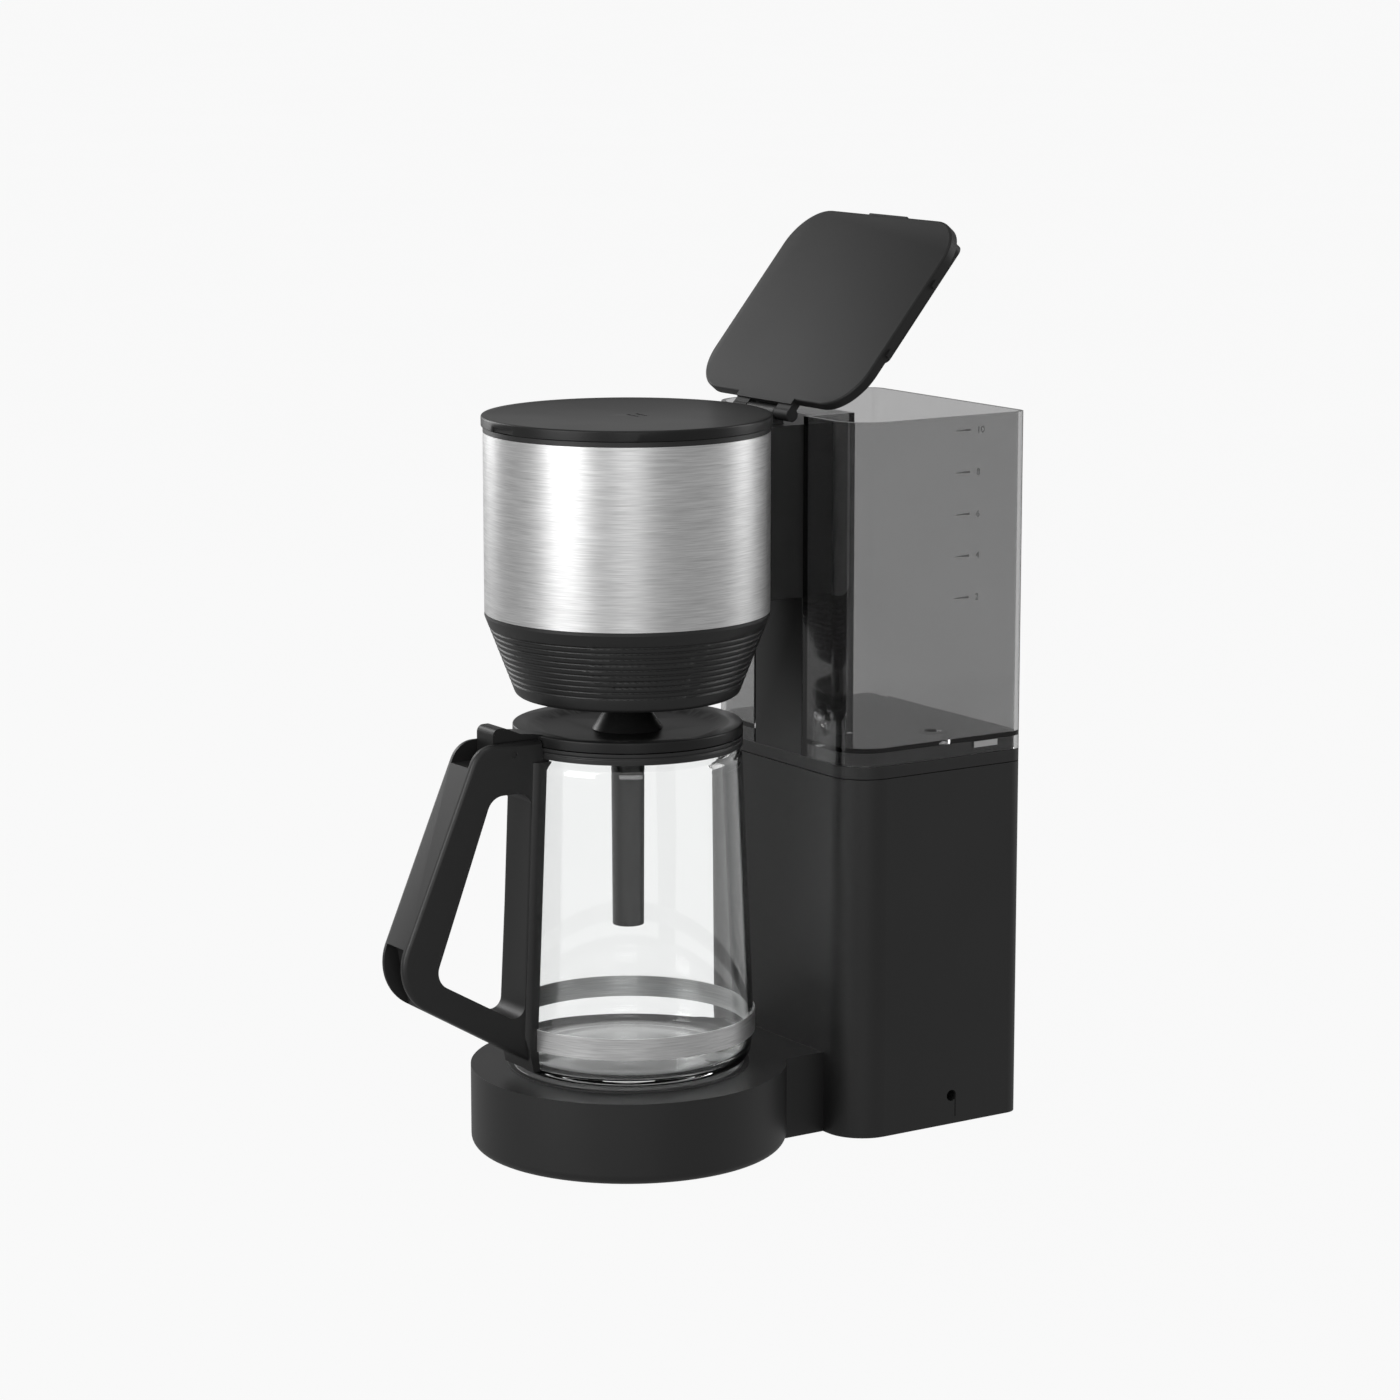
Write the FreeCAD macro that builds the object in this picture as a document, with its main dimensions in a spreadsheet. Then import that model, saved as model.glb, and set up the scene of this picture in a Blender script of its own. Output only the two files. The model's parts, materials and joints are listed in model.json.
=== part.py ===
import FreeCAD, Part
import math
import os
import re
import Sketcher

# Drip coffee maker.  Everything is laid out about the brew axis, the upright line
# through the hotplate, the jug and the filter basket: +Z is up, the jug's handle
# points to -Y and the water tower stands at +Y.  At the end each piece is moved along
# Y, so that the origin is the middle of the footprint on the surface it stands on.

DIMENSIONS = [
    # casing
    ("disc_radius", 78.9, "base disc under the jug"),
    ("disc_height", 41.7, "top of the base disc"),
    ("floor_gap", 0.5, "casing above the surface"),
    ("foot_round", 5.5, "bottom edge of the casing"),
    ("neck_half_width", 41, "neck between disc and tower"),
    ("tower_half_width", 66, "water tower"),
    ("tower_depth", 106, "front to back of the tower"),
    ("tower_gap", 20, "basket sleeve to tower front"),
    ("housing_height", 184, "top of the lower housing"),
    ("front_round", 20, "upright front corners of the tower"),
    ("back_round", 8, "upright back corners of the tower"),
    ("casing_wall", 2.5, "moulded wall"),
    ("casing_ledge", 9, "ledge round the opening for the bottom plate"),
    ("seam_gap", 0.3, "gap at a seam between mouldings"),
    ("deck_height", 6.2, "cover band over the housing"),
    ("platform_rise", 6.3, "platform that the tank's skirt goes over"),
    ("fit_gap", 0.3, "clearance of a part that drops into another"),
    # column and bridge
    ("column_half_width", 20.6, "column that carries basket and tank lid"),
    ("column_depth", 26, "front to back of the column"),
    ("column_wall", 3, "walls of the hollow column"),
    ("channel_half_width", 9, "channel for the hot water tube"),
    ("bridge_cap", 1.4, "column top below the top of the sleeve"),
    # basket
    ("sleeve_radius", 70, "brushed sleeve"),
    ("sleeve_wall", 0.7, "sheet of the sleeve"),
    ("sleeve_height", 88.7, "height of the sleeve"),
    ("cone_height", 41.4, "ribbed cone under the sleeve"),
    ("cone_foot_radius", 54.7, "foot of the cone"),
    ("cone_round", 4, "rounded foot of the cone"),
    ("basket_wall", 2.5, "wall of the basket"),
    ("basket_flange", 2.3, "rim above the sleeve"),
    ("rib_pitch", 2.9, "grooves round the cone"),
    ("rib_depth", 0.75, "depth of a groove"),
    ("rib_first", 7.5, "lowest groove above the basket foot"),
    ("insert_wall", 1.6, "wall of the filter insert"),
    ("insert_drop", 16, "rim of the insert below the top of the sleeve"),
    ("outlet_radius", 12, "outlet under the insert"),
    # basket lid
    ("lid_radius", 70.9, "basket lid"),
    ("lid_rim", 5.2, "rim of the basket lid"),
    ("lid_dish", 1.2, "dish of the basket lid"),
    ("lid_plug", 5, "plug under the basket lid"),
    # tank
    ("tank_wall", 2.4, "wall of the water tank"),
    ("tank_floor", 2.5, "floor of the water tank"),
    ("tank_rim_drop", 1.2, "rim of the tank below the hinge axis"),
    ("clip_length", 14.5, "catches at the foot of the tank"),
    ("outlet_x", 40, "tank outlet beside the centre"),
    ("outlet_back", 40, "tank outlet in front of the tower back"),
    # tank lid
    ("hinge_setback", 9, "hinge axis in front of the tower"),
    ("hinge_rise", 4.1, "hinge axis above the sleeve"),
    ("knuckle_radius", 3.4, "hinge knuckle"),
    ("pin_radius", 1.5, "hinge pin"),
    ("running_gap", 0.05, "pin to hole, on the radius"),
    ("knuckle_half_width", 12, "fixed knuckle"),
    ("arm_half_width", 24, "hinge arm of the tank lid"),
    ("plate_offset", 6.4, "front edge of the tank lid behind the hinge axis"),
    ("plate_length", 112, "tank lid"),
    ("plate_half_width", 68, "tank lid"),
    ("plate_thick", 5, "tank lid"),
    ("plate_round", 23, "corners of the tank lid"),
    ("plate_rise", 0.8, "underside of the tank lid below the hinge axis"),
    ("plate_open", 50.3, "angle that the tank lid stands open, degrees"),
    # hotplate and heater
    ("hotplate_radius", 57.6, "warming plate"),
    ("hotplate_rise", 1.6, "warming plate above the disc"),
    ("hotplate_sheet", 1.2, "sheet of the warming plate"),
    ("seal_width", 2.6, "silicone ring round the plate"),
    ("casting_height", 9, "heater casting"),
    ("element_ring", 30.5, "ring of the heating element"),
    ("element_radius", 3.3, "heating element"),
    ("water_ring", 38.6, "ring of the water tube"),
    ("water_radius", 3.6, "water tube of the heater"),
    # jug
    ("jug_height", 159.7, "jug foot to its neck"),
    ("jug_belly_radius", 62.4, "widest part of the glass"),
    ("jug_belly_height", 20, "height of the widest part"),
    ("jug_foot_radius", 61.2, "glass above the foot round"),
    ("jug_foot_round", 8, "bottom corner of the glass"),
    ("jug_shoulder_radius", 56.5, "glass under the collar"),
    ("jug_shoulder_drop", 5, "shoulder below the neck"),
    ("jug_neck_radius", 53, "neck of the glass"),
    ("jug_neck_height", 4.6, "neck of the glass"),
    ("glass_wall", 2.4, "glass"),
    ("seat_gap", 0.2, "jug to warming plate"),
    ("spout_reach", 67.5, "tip of the pouring spout"),
    ("spout_radius", 10.5, "mouth of the spout"),
    ("spout_height", 19, "height of the spout"),
    ("band_low", 15.4, "steel band above the jug foot"),
    ("band_height", 10.8, "width of the steel band"),
    ("band_sheet", 0.6, "sheet of the steel band"),
    ("collar_radius", 56.7, "collar and jug lid"),
    ("collar_height", 5.4, "collar round the neck"),
    # jug lid
    ("jug_lid_groove", 0.6, "groove between collar and lid"),
    ("jug_lid_rim", 5, "rim of the jug lid"),
    ("jug_lid_dish_radius", 46, "dish of the jug lid"),
    ("jug_lid_floor", 2, "floor of the dish"),
    ("hub_foot_radius", 17.5, "hub in the dish"),
    ("hub_top_radius", 11, "top of the hub"),
    ("hub_rise", 6.7, "hub above the rim"),
    ("brew_tube_radius", 8.3, "top of the brew tube"),
    ("brew_tube_taper", 0.5, "taper of the brew tube"),
    ("brew_tube_length", 97, "brew tube under the lid"),
    ("brew_tube_bore", 6.2, "bore of the brew tube"),
    ("basket_gap", 14.1, "jug lid rim to basket"),
    # handle
    ("handle_half_width", 11.5, "grip"),
    ("handle_edge", 2.2, "rounded edges of the grip"),
    ("grip_reach", 140.8, "sharp outer corner of the grip"),
    ("grip_corner_height", 54.8, "sharp outer corner above the jug foot"),
    ("grip_top_reach", 91.5, "sharp upper corner of the grip"),
    ("grip_top_rise", 9.7, "top of the handle above the glass neck"),
    ("grip_top_round", 13, "upper corner"),
    ("grip_corner_round", 25, "outer corner"),
    ("strip_half_width", 13.5, "strip of the handle along the glass"),
    ("strip_thick", 5, "strip of the handle that lies on the glass"),
    ("pin_reach", 72, "hinge pin of the jug lid"),
    ("pin_rise", 4.1, "hinge pin of the jug lid above the glass neck"),
    ("tongue_half_width", 7.6, "tongue of the jug lid"),
    # controls and cord inlet
    ("button_radius", 11, "power button"),
    ("button_back", 30, "power button behind the tower front"),
    ("button_height", 150, "power button above the surface"),
    ("button_proud", 1.5, "power button outside the casing"),
    ("cord_hole_radius", 2.9, "cord inlet"),
    ("cord_hole_back", 44, "cord inlet in front of the tower back"),
    ("cord_hole_height", 15.3, "cord inlet above the surface"),
]

doc = FreeCAD.newDocument("drip_coffee_maker")
dims = doc.addObject("Spreadsheet::Sheet", "Dims")
for row, (alias, number, note) in enumerate(DIMENSIONS, start=1):
    dims.set("A%d" % row, str(number))
    dims.setAlias("A%d" % row, alias)
    dims.set("B%d" % row, note)
doc.recompute()
ALIASES = {alias for alias, number, note in DIMENSIONS}

# Levels and planes that several pieces share, as expressions on the sheet.
SEAT = "(disc_height + hotplate_rise + seat_gap)"
NECK = f"({SEAT} + jug_height)"
COLLAR = f"({NECK} + 0.2)"
COLLAR_TOP = f"({COLLAR} + collar_height)"
JUG_LID = f"({COLLAR_TOP} + jug_lid_groove)"
JUG_LID_TOP = f"({JUG_LID} + jug_lid_rim)"
BASKET_FOOT = f"({JUG_LID_TOP} + basket_gap)"
CONE_TOP = f"({BASKET_FOOT} + cone_height)"
SLEEVE_TOP = f"({CONE_TOP} + sleeve_height)"
FLANGE_TOP = f"({SLEEVE_TOP} + basket_flange)"
INSERT_RIM = f"({SLEEVE_TOP} - insert_drop)"
TOWER_FRONT = "(sleeve_radius + tower_gap)"
TOWER_BACK = f"({TOWER_FRONT} + tower_depth)"
HINGE_Y = f"({TOWER_FRONT} - hinge_setback)"
HINGE_Z = f"({SLEEVE_TOP} + hinge_rise)"
DECK = "(housing_height + seam_gap)"
DECK_TOP = f"({DECK} + deck_height)"
TANK_TOP = f"({HINGE_Z} - tank_rim_drop)"
COLUMN_TOP = f"({SLEEVE_TOP} - bridge_cap)"
COLUMN_BACK = f"({TOWER_FRONT} + column_depth)"
PLATE_TOP = "(disc_height + hotplate_rise)"
CASTING_TOP = f"({PLATE_TOP} - hotplate_sheet)"
CASTING_FOOT = f"({CASTING_TOP} - casting_height)"
OUTLET_Y = f"({TOWER_BACK} - outlet_back)"
TUBE_Z = f"({SLEEVE_TOP} - 8)"


# ---------------------------------------------------------------- making features

def linked(expression):
    """The expression with each dimension's name pointing at the sheet."""
    def point(match):
        word = match.group()
        return "Dims." + word if word in ALIASES else word
    return re.sub(r"[A-Za-z_][A-Za-z_0-9]*", point, str(expression))


def size(expression):
    """The expression's present value, in millimetres or degrees."""
    return float(dims.evalExpression(str(expression)))


def bind(thing, **expressions):
    """Bind properties, written with __ for a dot, to expressions on the sheet."""
    for name, expression in expressions.items():
        thing.setExpression(name.replace("__", "."), linked(expression))
    return thing


def sketch_on(body, role, offset, corners):
    """A closed outline of straight edges on one of the body's origin planes."""
    sketch = body.newObject("Sketcher::SketchObject", "Outline")
    plane = [each for each in body.Origin.OriginFeatures if each.Role == role][0]
    sketch.AttachmentSupport = [(plane, "")]
    sketch.MapMode = "FlatFace"
    bind(sketch, AttachmentOffset__Base__z=offset)
    places = [(size(corner[0]), size(corner[1])) for corner in corners]
    count = len(corners)
    sketch.addGeometry([Part.LineSegment(FreeCAD.Vector(*places[index], 0),
                                         FreeCAD.Vector(*places[(index + 1) % count], 0))
                        for index in range(count)], False)
    sketch.addConstraint([Sketcher.Constraint("Coincident", index, 2, (index + 1) % count, 1)
                          for index in range(count)])
    for index, corner in enumerate(corners):
        for kind, place, expression in zip(("DistanceX", "DistanceY"), places[index], corner):
            number = sketch.addConstraint(Sketcher.Constraint(kind, index, 1, place))
            sketch.setExpression("Constraints[%d]" % number, linked(expression))
    return sketch


def close(first, second):
    return abs(first - second) < 1e-3


def round_edges(body, feature, picks):
    """Round the edges that each test picks, by its radius."""
    doc.recompute()
    for radius, test in picks:
        names = ["Edge%d" % number for number, edge in enumerate(feature.Shape.Edges, start=1)
                 if test(edge)]
        rounded = body.newObject("PartDesign::Fillet", "Round")
        rounded.Base = (feature, names)
        bind(rounded, Radius=radius)
        body.Tip = rounded
        feature = rounded
        doc.recompute()
    return feature


def corner_picks(corners, across):
    """Tests for the edges that run through the corners with a radius."""
    picks = {}
    for corner in corners:
        if len(corner) > 2:
            picks.setdefault(corner[2], []).append((size(corner[0]), size(corner[1])))

    def test_for(places):
        def test(edge):
            if len(edge.Vertexes) != 2:
                return False
            start, end = edge.Vertexes[0].Point, edge.Vertexes[1].Point
            if not all(close(start[axis], end[axis]) for axis in across):
                return False
            return any(close(start[across[0]], a) and close(start[across[1]], b)
                       for a, b in places)
        return test
    return [(radius, test_for(places)) for radius, places in picks.items()]


def prism(label, role, corners, low, high):
    """An outline carried from low to high; a corner's third value rounds it."""
    body = doc.addObject("PartDesign::Body", "Body")
    body.Label = label
    facing_back = role == "XZ_Plane"
    sketch = sketch_on(body, role, f"-({high})" if facing_back else low, corners)
    pad = body.newObject("PartDesign::Pad", "Pad")
    pad.Profile = sketch
    bind(pad, Length=f"({high}) - ({low})")
    across = {"XY_Plane": (0, 1), "YZ_Plane": (1, 2), "XZ_Plane": (0, 2)}[role]
    round_edges(body, pad, corner_picks(corners, across))
    return body


def turned(label, corners, angle=360):
    """A profile of radius and height turned round the upright axis."""
    body = doc.addObject("PartDesign::Body", "Body")
    body.Label = label
    sketch = sketch_on(body, "XZ_Plane", "0", corners)
    turn = body.newObject("PartDesign::Revolution", "Turn")
    turn.Profile = sketch
    turn.ReferenceAxis = (sketch, ["V_Axis"])
    turn.Angle = angle
    picks = {}
    for corner in corners:
        if len(corner) > 2:
            picks.setdefault(corner[2], []).append((size(corner[0]), size(corner[1])))

    def test_for(places):
        def test(edge):
            if not hasattr(edge.Curve, "Radius"):
                return False
            return any(close(edge.Curve.Radius, a) and close(edge.Curve.Center.z, b)
                       for a, b in places)
        return test
    round_edges(body, turn, [(radius, test_for(places)) for radius, places in picks.items()])
    return body


def rectangle(x_low, x_high, y_low, y_high, front=None, back=None):
    """The corners of a rectangle, with a radius for its front and its back corners."""
    front_end = (front,) if front else ()
    back_end = (back,) if back else ()
    return [(x_low, y_low) + front_end, (x_high, y_low) + front_end,
            (x_high, y_high) + back_end, (x_low, y_high) + back_end]


def block(label, x_low, x_high, y_low, y_high, z_low, z_high):
    box = doc.addObject("Part::Box", "Block")
    box.Label = label
    return bind(box, Length=f"({x_high}) - ({x_low})", Width=f"({y_high}) - ({y_low})",
                Height=f"({z_high}) - ({z_low})", Placement__Base__x=x_low,
                Placement__Base__y=y_low, Placement__Base__z=z_low)


TURNS = {"x": FreeCAD.Rotation(FreeCAD.Vector(0, 1, 0), 90),
         "y": FreeCAD.Rotation(FreeCAD.Vector(1, 0, 0), -90),
         "z": FreeCAD.Rotation()}


def rod(label, axis, radius, x, y, z, length):
    """A cylinder that starts at x, y, z and runs along the axis."""
    cylinder = doc.addObject("Part::Cylinder", "Rod")
    cylinder.Label = label
    cylinder.Placement.Rotation = TURNS[axis]
    return bind(cylinder, Radius=radius, Height=length, Placement__Base__x=x,
                Placement__Base__y=y, Placement__Base__z=z)


def cone(label, foot_radius, top_radius, x, y, z, height):
    taper = doc.addObject("Part::Cone", "Taper")
    taper.Label = label
    return bind(taper, Radius1=foot_radius, Radius2=top_radius, Height=height,
                Placement__Base__x=x, Placement__Base__y=y, Placement__Base__z=z)


def join(label, *pieces):
    fused = doc.addObject("Part::MultiFuse", "Join")
    fused.Label = label
    fused.Shapes = list(pieces)
    fused.Refine = True
    return fused


def cut(label, base, *tools):
    tool = tools[0] if len(tools) == 1 else join(label + "_cutter", *tools)
    result = doc.addObject("Part::Cut", "Cut")
    result.Label = label
    result.Base = base
    result.Tool = tool
    return result


def group(label, *pieces):
    """Separate solids that share one node."""
    together = doc.addObject("Part::Compound", "Group")
    together.Label = label
    together.Links = list(pieces)
    return together


def tube_along(points, radius, bore=None):
    """A tube of straight runs, each joined to the next by a tangent arc."""
    corners = [FreeCAD.Vector(*point) for point in points]
    edges = []
    start = corners[0]
    for before, corner, after in zip(corners, corners[1:], corners[2:]):
        back, ahead = before - corner, after - corner
        half_turn = (math.pi - back.getAngle(ahead)) / 2
        reach = 0.45 * min(back.Length, ahead.Length)
        back.normalize()
        ahead.normalize()
        bend = reach / math.tan(half_turn)
        entry, exit_point = corner + back * reach, corner + ahead * reach
        inward = (back + ahead).normalize()
        middle = corner + inward * (bend / math.cos(half_turn) - bend)
        edges.append(Part.LineSegment(start, entry).toShape())
        edges.append(Part.Arc(entry, middle, exit_point).toShape())
        start = exit_point
    edges.append(Part.LineSegment(start, corners[-1]).toShape())
    path = Part.Wire(edges)
    heading = corners[1] - corners[0]

    def sweep(section_radius):
        section = Part.Wire([Part.Circle(corners[0], heading, section_radius).toShape()])
        return path.makePipeShell([section], True, False)
    outer = sweep(radius)
    return outer.cut(sweep(bore)) if bore else outer


def carried(label, shape):
    """A piece whose shape Part's own functions make."""
    feature = doc.addObject("Part::Feature", "Piece")
    feature.Label = label
    feature.Shape = shape
    return feature


nodes = []


def node(piece, label, turn=None, y="0", z="0"):
    """Name the finished sub-part and place it about the footprint's middle."""
    piece.Label = label
    if turn:
        piece.Placement.Rotation = FreeCAD.Rotation(FreeCAD.Vector(1, 0, 0), size(turn))
        bind(piece, Placement__Rotation__Angle=turn)
    nodes.append((piece, y, z))
    return piece


# ---------------------------------------------------------------- casing

LEDGE_TOP = "(floor_gap + 3)"
PLATE_FOOT = "(floor_gap + 0.5)"
PLATE_FACE = f"({PLATE_FOOT} + 2)"
DISC_UNDER = "(disc_height - casing_wall)"


def tower_outline(inset):
    """The tower's plan, its sides moved in by inset."""
    side = f"(tower_half_width - ({inset}))"
    return rectangle(f"-{side}", side, f"{TOWER_FRONT} + ({inset})", f"{TOWER_BACK} - ({inset})",
                     f"max(front_round - ({inset}); 1)", f"max(back_round - ({inset}); 1)")


def footprint(label, inset, low, disc_top, tower_top, foot_round=()):
    """Base disc, neck and tower in one solid, all sides moved in by inset."""
    radius = f"disc_radius - ({inset})"
    side = f"(neck_half_width - ({inset}))"
    disc = turned(label + "_disc", [("0", low), (radius, low) + foot_round,
                                    (radius, disc_top), ("0", disc_top)])
    neck = prism(label + "_neck", "XY_Plane",
                 rectangle(f"-{side}", side, "0", f"{TOWER_FRONT} + ({inset}) + 1"),
                 low, disc_top)
    tower = prism(label + "_tower", "XY_Plane", tower_outline(inset), low, tower_top)
    return join(label, disc, neck, tower)


# Posts under the disc and in the back corners of the tower take the base screws.
SCREW_PLACES = [("-46.5", "-46.5"), ("46.5", "-46.5"), ("-51", f"{TOWER_BACK} - 15"),
                ("51", f"{TOWER_BACK} - 15")]
BRACKET_PLACES = [("-(hotplate_radius + seal_width + 5.5)", "0"),
                  ("hotplate_radius + seal_width + 5.5", "0")]

BUTTON_Y = f"({TOWER_FRONT} + button_back)"
CORD_Y = f"({TOWER_BACK} - cord_hole_back)"

shell = cut("housing_shell",
            footprint("housing_form", "0", "floor_gap", "disc_height", "housing_height",
                      ("foot_round",)),
            footprint("housing_hollow", "casing_wall", LEDGE_TOP, DISC_UNDER,
                      "housing_height + 1"),
            footprint("housing_opening", "casing_ledge", "-1", f"{LEDGE_TOP} + 1",
                      f"{LEDGE_TOP} + 1"),
            rod("hotplate_hole", "z", "hotplate_radius + seal_width", "0", "0",
                f"{DISC_UNDER} - 1", "casing_wall + 2"),
            rod("bezel_hole", "x", "button_radius + 2.4", "-tower_half_width - 1", BUTTON_Y,
                "button_height", "casing_wall + 2"),
            rod("cord_hole", "x", "cord_hole_radius", "tower_half_width - casing_wall - 1",
                CORD_Y, "cord_hole_height", "casing_wall + 2"),
            block("cord_slit", "tower_half_width - casing_wall - 1", "tower_half_width + 1",
                  f"{CORD_Y} + cord_hole_radius - 0.7", f"{CORD_Y} + cord_hole_radius - 0.2",
                  f"{LEDGE_TOP} + 0.5", "cord_hole_height"))
posts = [rod("disc_post", "z", "4", x, y, PLATE_FACE, f"{DISC_UNDER} - {PLATE_FACE} + 1")
         for x, y in SCREW_PLACES[:2]]
posts += [rod("bracket_post", "z", "3.6", x, y, CASTING_FOOT,
              f"{DISC_UNDER} - {CASTING_FOOT} + 1") for x, y in BRACKET_PLACES]
for (x, y), wall in zip(SCREW_PLACES[2:], ("-(tower_half_width - 1)", "tower_half_width - 1")):
    posts.append(rod("tower_post", "z", "4", x, y, PLATE_FACE, "60"))
    low, high = (wall, x) if wall.startswith("-") else (x, wall)
    posts.append(block("post_web", low, high, f"{y} - 1", f"{y} + 1", LEDGE_TOP, "60"))
pilots = [rod("base_pilot", "z", "1.45", x, y, "0", "15") for x, y in SCREW_PLACES]
pilots += [rod("bracket_pilot", "z", "1.45", x, y, f"{CASTING_FOOT} - 1", "8")
           for x, y in BRACKET_PLACES]
node(cut("housing", join("housing_with_posts", shell, *posts), *pilots), "base_housing")

FOOT_PLACES = [("0", "-58"), ("-46", "26"), ("46", "26"), ("-44", f"{TOWER_BACK} - 32"),
               ("44", f"{TOWER_BACK} - 32")]
node(cut("plate",
         footprint("plate_form", "casing_ledge + fit_gap", PLATE_FOOT, PLATE_FACE, PLATE_FACE),
         *[rod("screw_recess", "z", "3.1", x, y, "0", PLATE_FACE) for x, y in SCREW_PLACES],
         *[rod("foot_hole", "z", "2.4", x, y, "0", "5") for x, y in FOOT_PLACES]),
     "bottom_plate")


def foot(x, y):
    """A rubber foot: pad, stem through the plate and a barb above it."""
    pad = rod("foot_pad", "z", "7.5", x, y, "0", PLATE_FOOT)
    stem = rod("foot_stem", "z", "2.4", x, y, f"{PLATE_FOOT} - 0.2", "2.6")
    barb = cone("foot_barb", "3.4", "1.8", x, y, PLATE_FACE, "2.2")
    return join("foot", pad, stem, barb)


node(group("feet", *[foot(x, y) for x, y in FOOT_PLACES]), "feet")


def screw(x, y, low, length):
    """A pan head screw that points up."""
    return join("screw", rod("screw_head", "z", "2.8", x, y, low, "1.8"),
                rod("screw_shank", "z", "1.45", x, y, f"{low} + 1", length))


node(group("screws", *[screw(x, y, PLATE_FOOT, "12") for x, y in SCREW_PLACES]), "base_screws")

notch_half = "(column_half_width + 0.6)"
notch_back = f"({COLUMN_BACK} + 0.6)"


def notched(label, inset, low, high):
    """The tank's plan with the recess that takes the column."""
    edge = f"({notch_half} + ({inset}))"
    return cut(label,
               prism(label + "_block", "XY_Plane", tower_outline(inset), low, high),
               block(label + "_recess", f"-{edge}", edge, f"{TOWER_FRONT} - 1",
                     f"{notch_back} + ({inset})", f"{low} - 1", f"{high} + 1"))


# The cover band closes the housing; the tank's skirt goes over its raised platform.
PLATFORM = f"({DECK_TOP} + platform_rise)"
platform_inset = "tank_wall + 0.5"
socket_floor = f"({DECK} - 12)"
node(cut("deck",
         join("deck_form",
              prism("deck_band", "XY_Plane", tower_outline("0"), DECK, DECK_TOP),
              prism("deck_lip", "XY_Plane", tower_outline("casing_wall + fit_gap"),
                    f"{DECK} - 3", f"{DECK} + 1"),
              notched("platform", platform_inset, f"{DECK_TOP} - 1", PLATFORM)),
         notched("platform_hollow", f"{platform_inset} + 2.5", f"{DECK_TOP} - 4",
                 f"{PLATFORM} - 2.5"),
         prism("deck_hollow", "XY_Plane", tower_outline("casing_wall + fit_gap + 2"),
               f"{DECK} - 4", f"{DECK_TOP} - 3"),
         rod("socket_hole", "z", "10.5", "outlet_x", OUTLET_Y, f"{DECK} - 1",
             "deck_height + platform_rise + 2"),
         rod("riser_hole", "z", "4.3", "0", f"{TOWER_FRONT} + 14", f"{DECK} - 1",
             "deck_height + 2")),
     "deck_cover")
node(cut("socket",
         join("socket_form",
              rod("socket_cup", "z", "10.5", "outlet_x", OUTLET_Y, socket_floor,
                  f"{PLATFORM} - {socket_floor}"),
              rod("socket_barb", "z", "4.2", "outlet_x", OUTLET_Y, f"{socket_floor} - 12", "13")),
         rod("socket_bore", "z", "8.2", "outlet_x", OUTLET_Y, f"{socket_floor} + 2", "30"),
         rod("barb_bore", "z", "2.8", "outlet_x", OUTLET_Y, f"{socket_floor} - 13", "16")),
     "outlet_socket")


# ---------------------------------------------------------------- hotplate and heater

node(turned("plate_disc", [("0", CASTING_TOP), ("hotplate_radius", CASTING_TOP),
                           ("hotplate_radius", f"{PLATE_TOP} - 0.5"),
                           ("hotplate_radius - 2.4", PLATE_TOP), ("0", PLATE_TOP)]),
     "hotplate")
node(turned("seal_ring", [("hotplate_radius - 2", f"{CASTING_TOP} - 1.2"),
                          ("hotplate_radius + seal_width", f"{CASTING_TOP} - 1.2"),
                          ("hotplate_radius + seal_width", "disc_height + 0.6"),
                          ("hotplate_radius", "disc_height + 0.8"),
                          ("hotplate_radius", CASTING_TOP),
                          ("hotplate_radius - 2", CASTING_TOP)]),
     "hotplate_seal")

CASTING_IN, CASTING_OUT, CASTING_LEG = "26", "46", "30"
PIPE_Z = f"({CASTING_FOOT} + 4.2)"


def horseshoe(ring, leg, radius, bore=None):
    """A tube bent to a half ring with two straight legs towards the tower."""
    ring, leg, height = size(ring), size(leg), size(PIPE_Z)
    start = FreeCAD.Vector(-ring, leg, height)
    left, right = FreeCAD.Vector(-ring, 0, height), FreeCAD.Vector(ring, 0, height)
    path = Part.Wire([Part.LineSegment(start, left).toShape(),
                      Part.Arc(left, FreeCAD.Vector(0, -ring, height), right).toShape(),
                      Part.LineSegment(right, FreeCAD.Vector(ring, leg, height)).toShape()])

    def sweep(section_radius):
        section = Part.Circle(start, FreeCAD.Vector(0, 1, 0), section_radius).toShape()
        return path.makePipeShell([Part.Wire([section])], True, False)
    return sweep(size(radius)).cut(sweep(size(bore))) if bore else sweep(size(radius))


element = carried("element_form", horseshoe("element_ring", "36", "element_radius"))
water_outside = carried("water_form", horseshoe("water_ring", "34", "water_radius"))
node(cut("casting",
         join("casting_form",
              rod("casting_ring", "z", CASTING_OUT, "0", "0", CASTING_FOOT,
                  f"{CASTING_TOP} - {CASTING_FOOT}"),
              block("casting_legs", f"-{CASTING_OUT}", CASTING_OUT, "0", CASTING_LEG,
                    CASTING_FOOT, CASTING_TOP)),
         rod("casting_eye", "z", CASTING_IN, "0", "0", f"{CASTING_FOOT} - 1",
             f"{CASTING_TOP} - {CASTING_FOOT} + 2"),
         block("casting_gap", f"-{CASTING_IN}", CASTING_IN, "0", "60",
               f"{CASTING_FOOT} - 1", f"{CASTING_TOP} + 1"),
         block("casting_back", "-60", "60", CASTING_LEG, "60",
               f"{CASTING_FOOT} - 1", f"{CASTING_TOP} + 1"),
         element, water_outside),
     "heater_casting")
node(carried("element", horseshoe("element_ring", "36", "element_radius")), "heating_element")
node(carried("water", horseshoe("water_ring", "34", "water_radius", "water_radius - 1")),
     "heater_tube")
(bracket_left, bracket_y), (bracket_right, bracket_y) = BRACKET_PLACES
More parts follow.
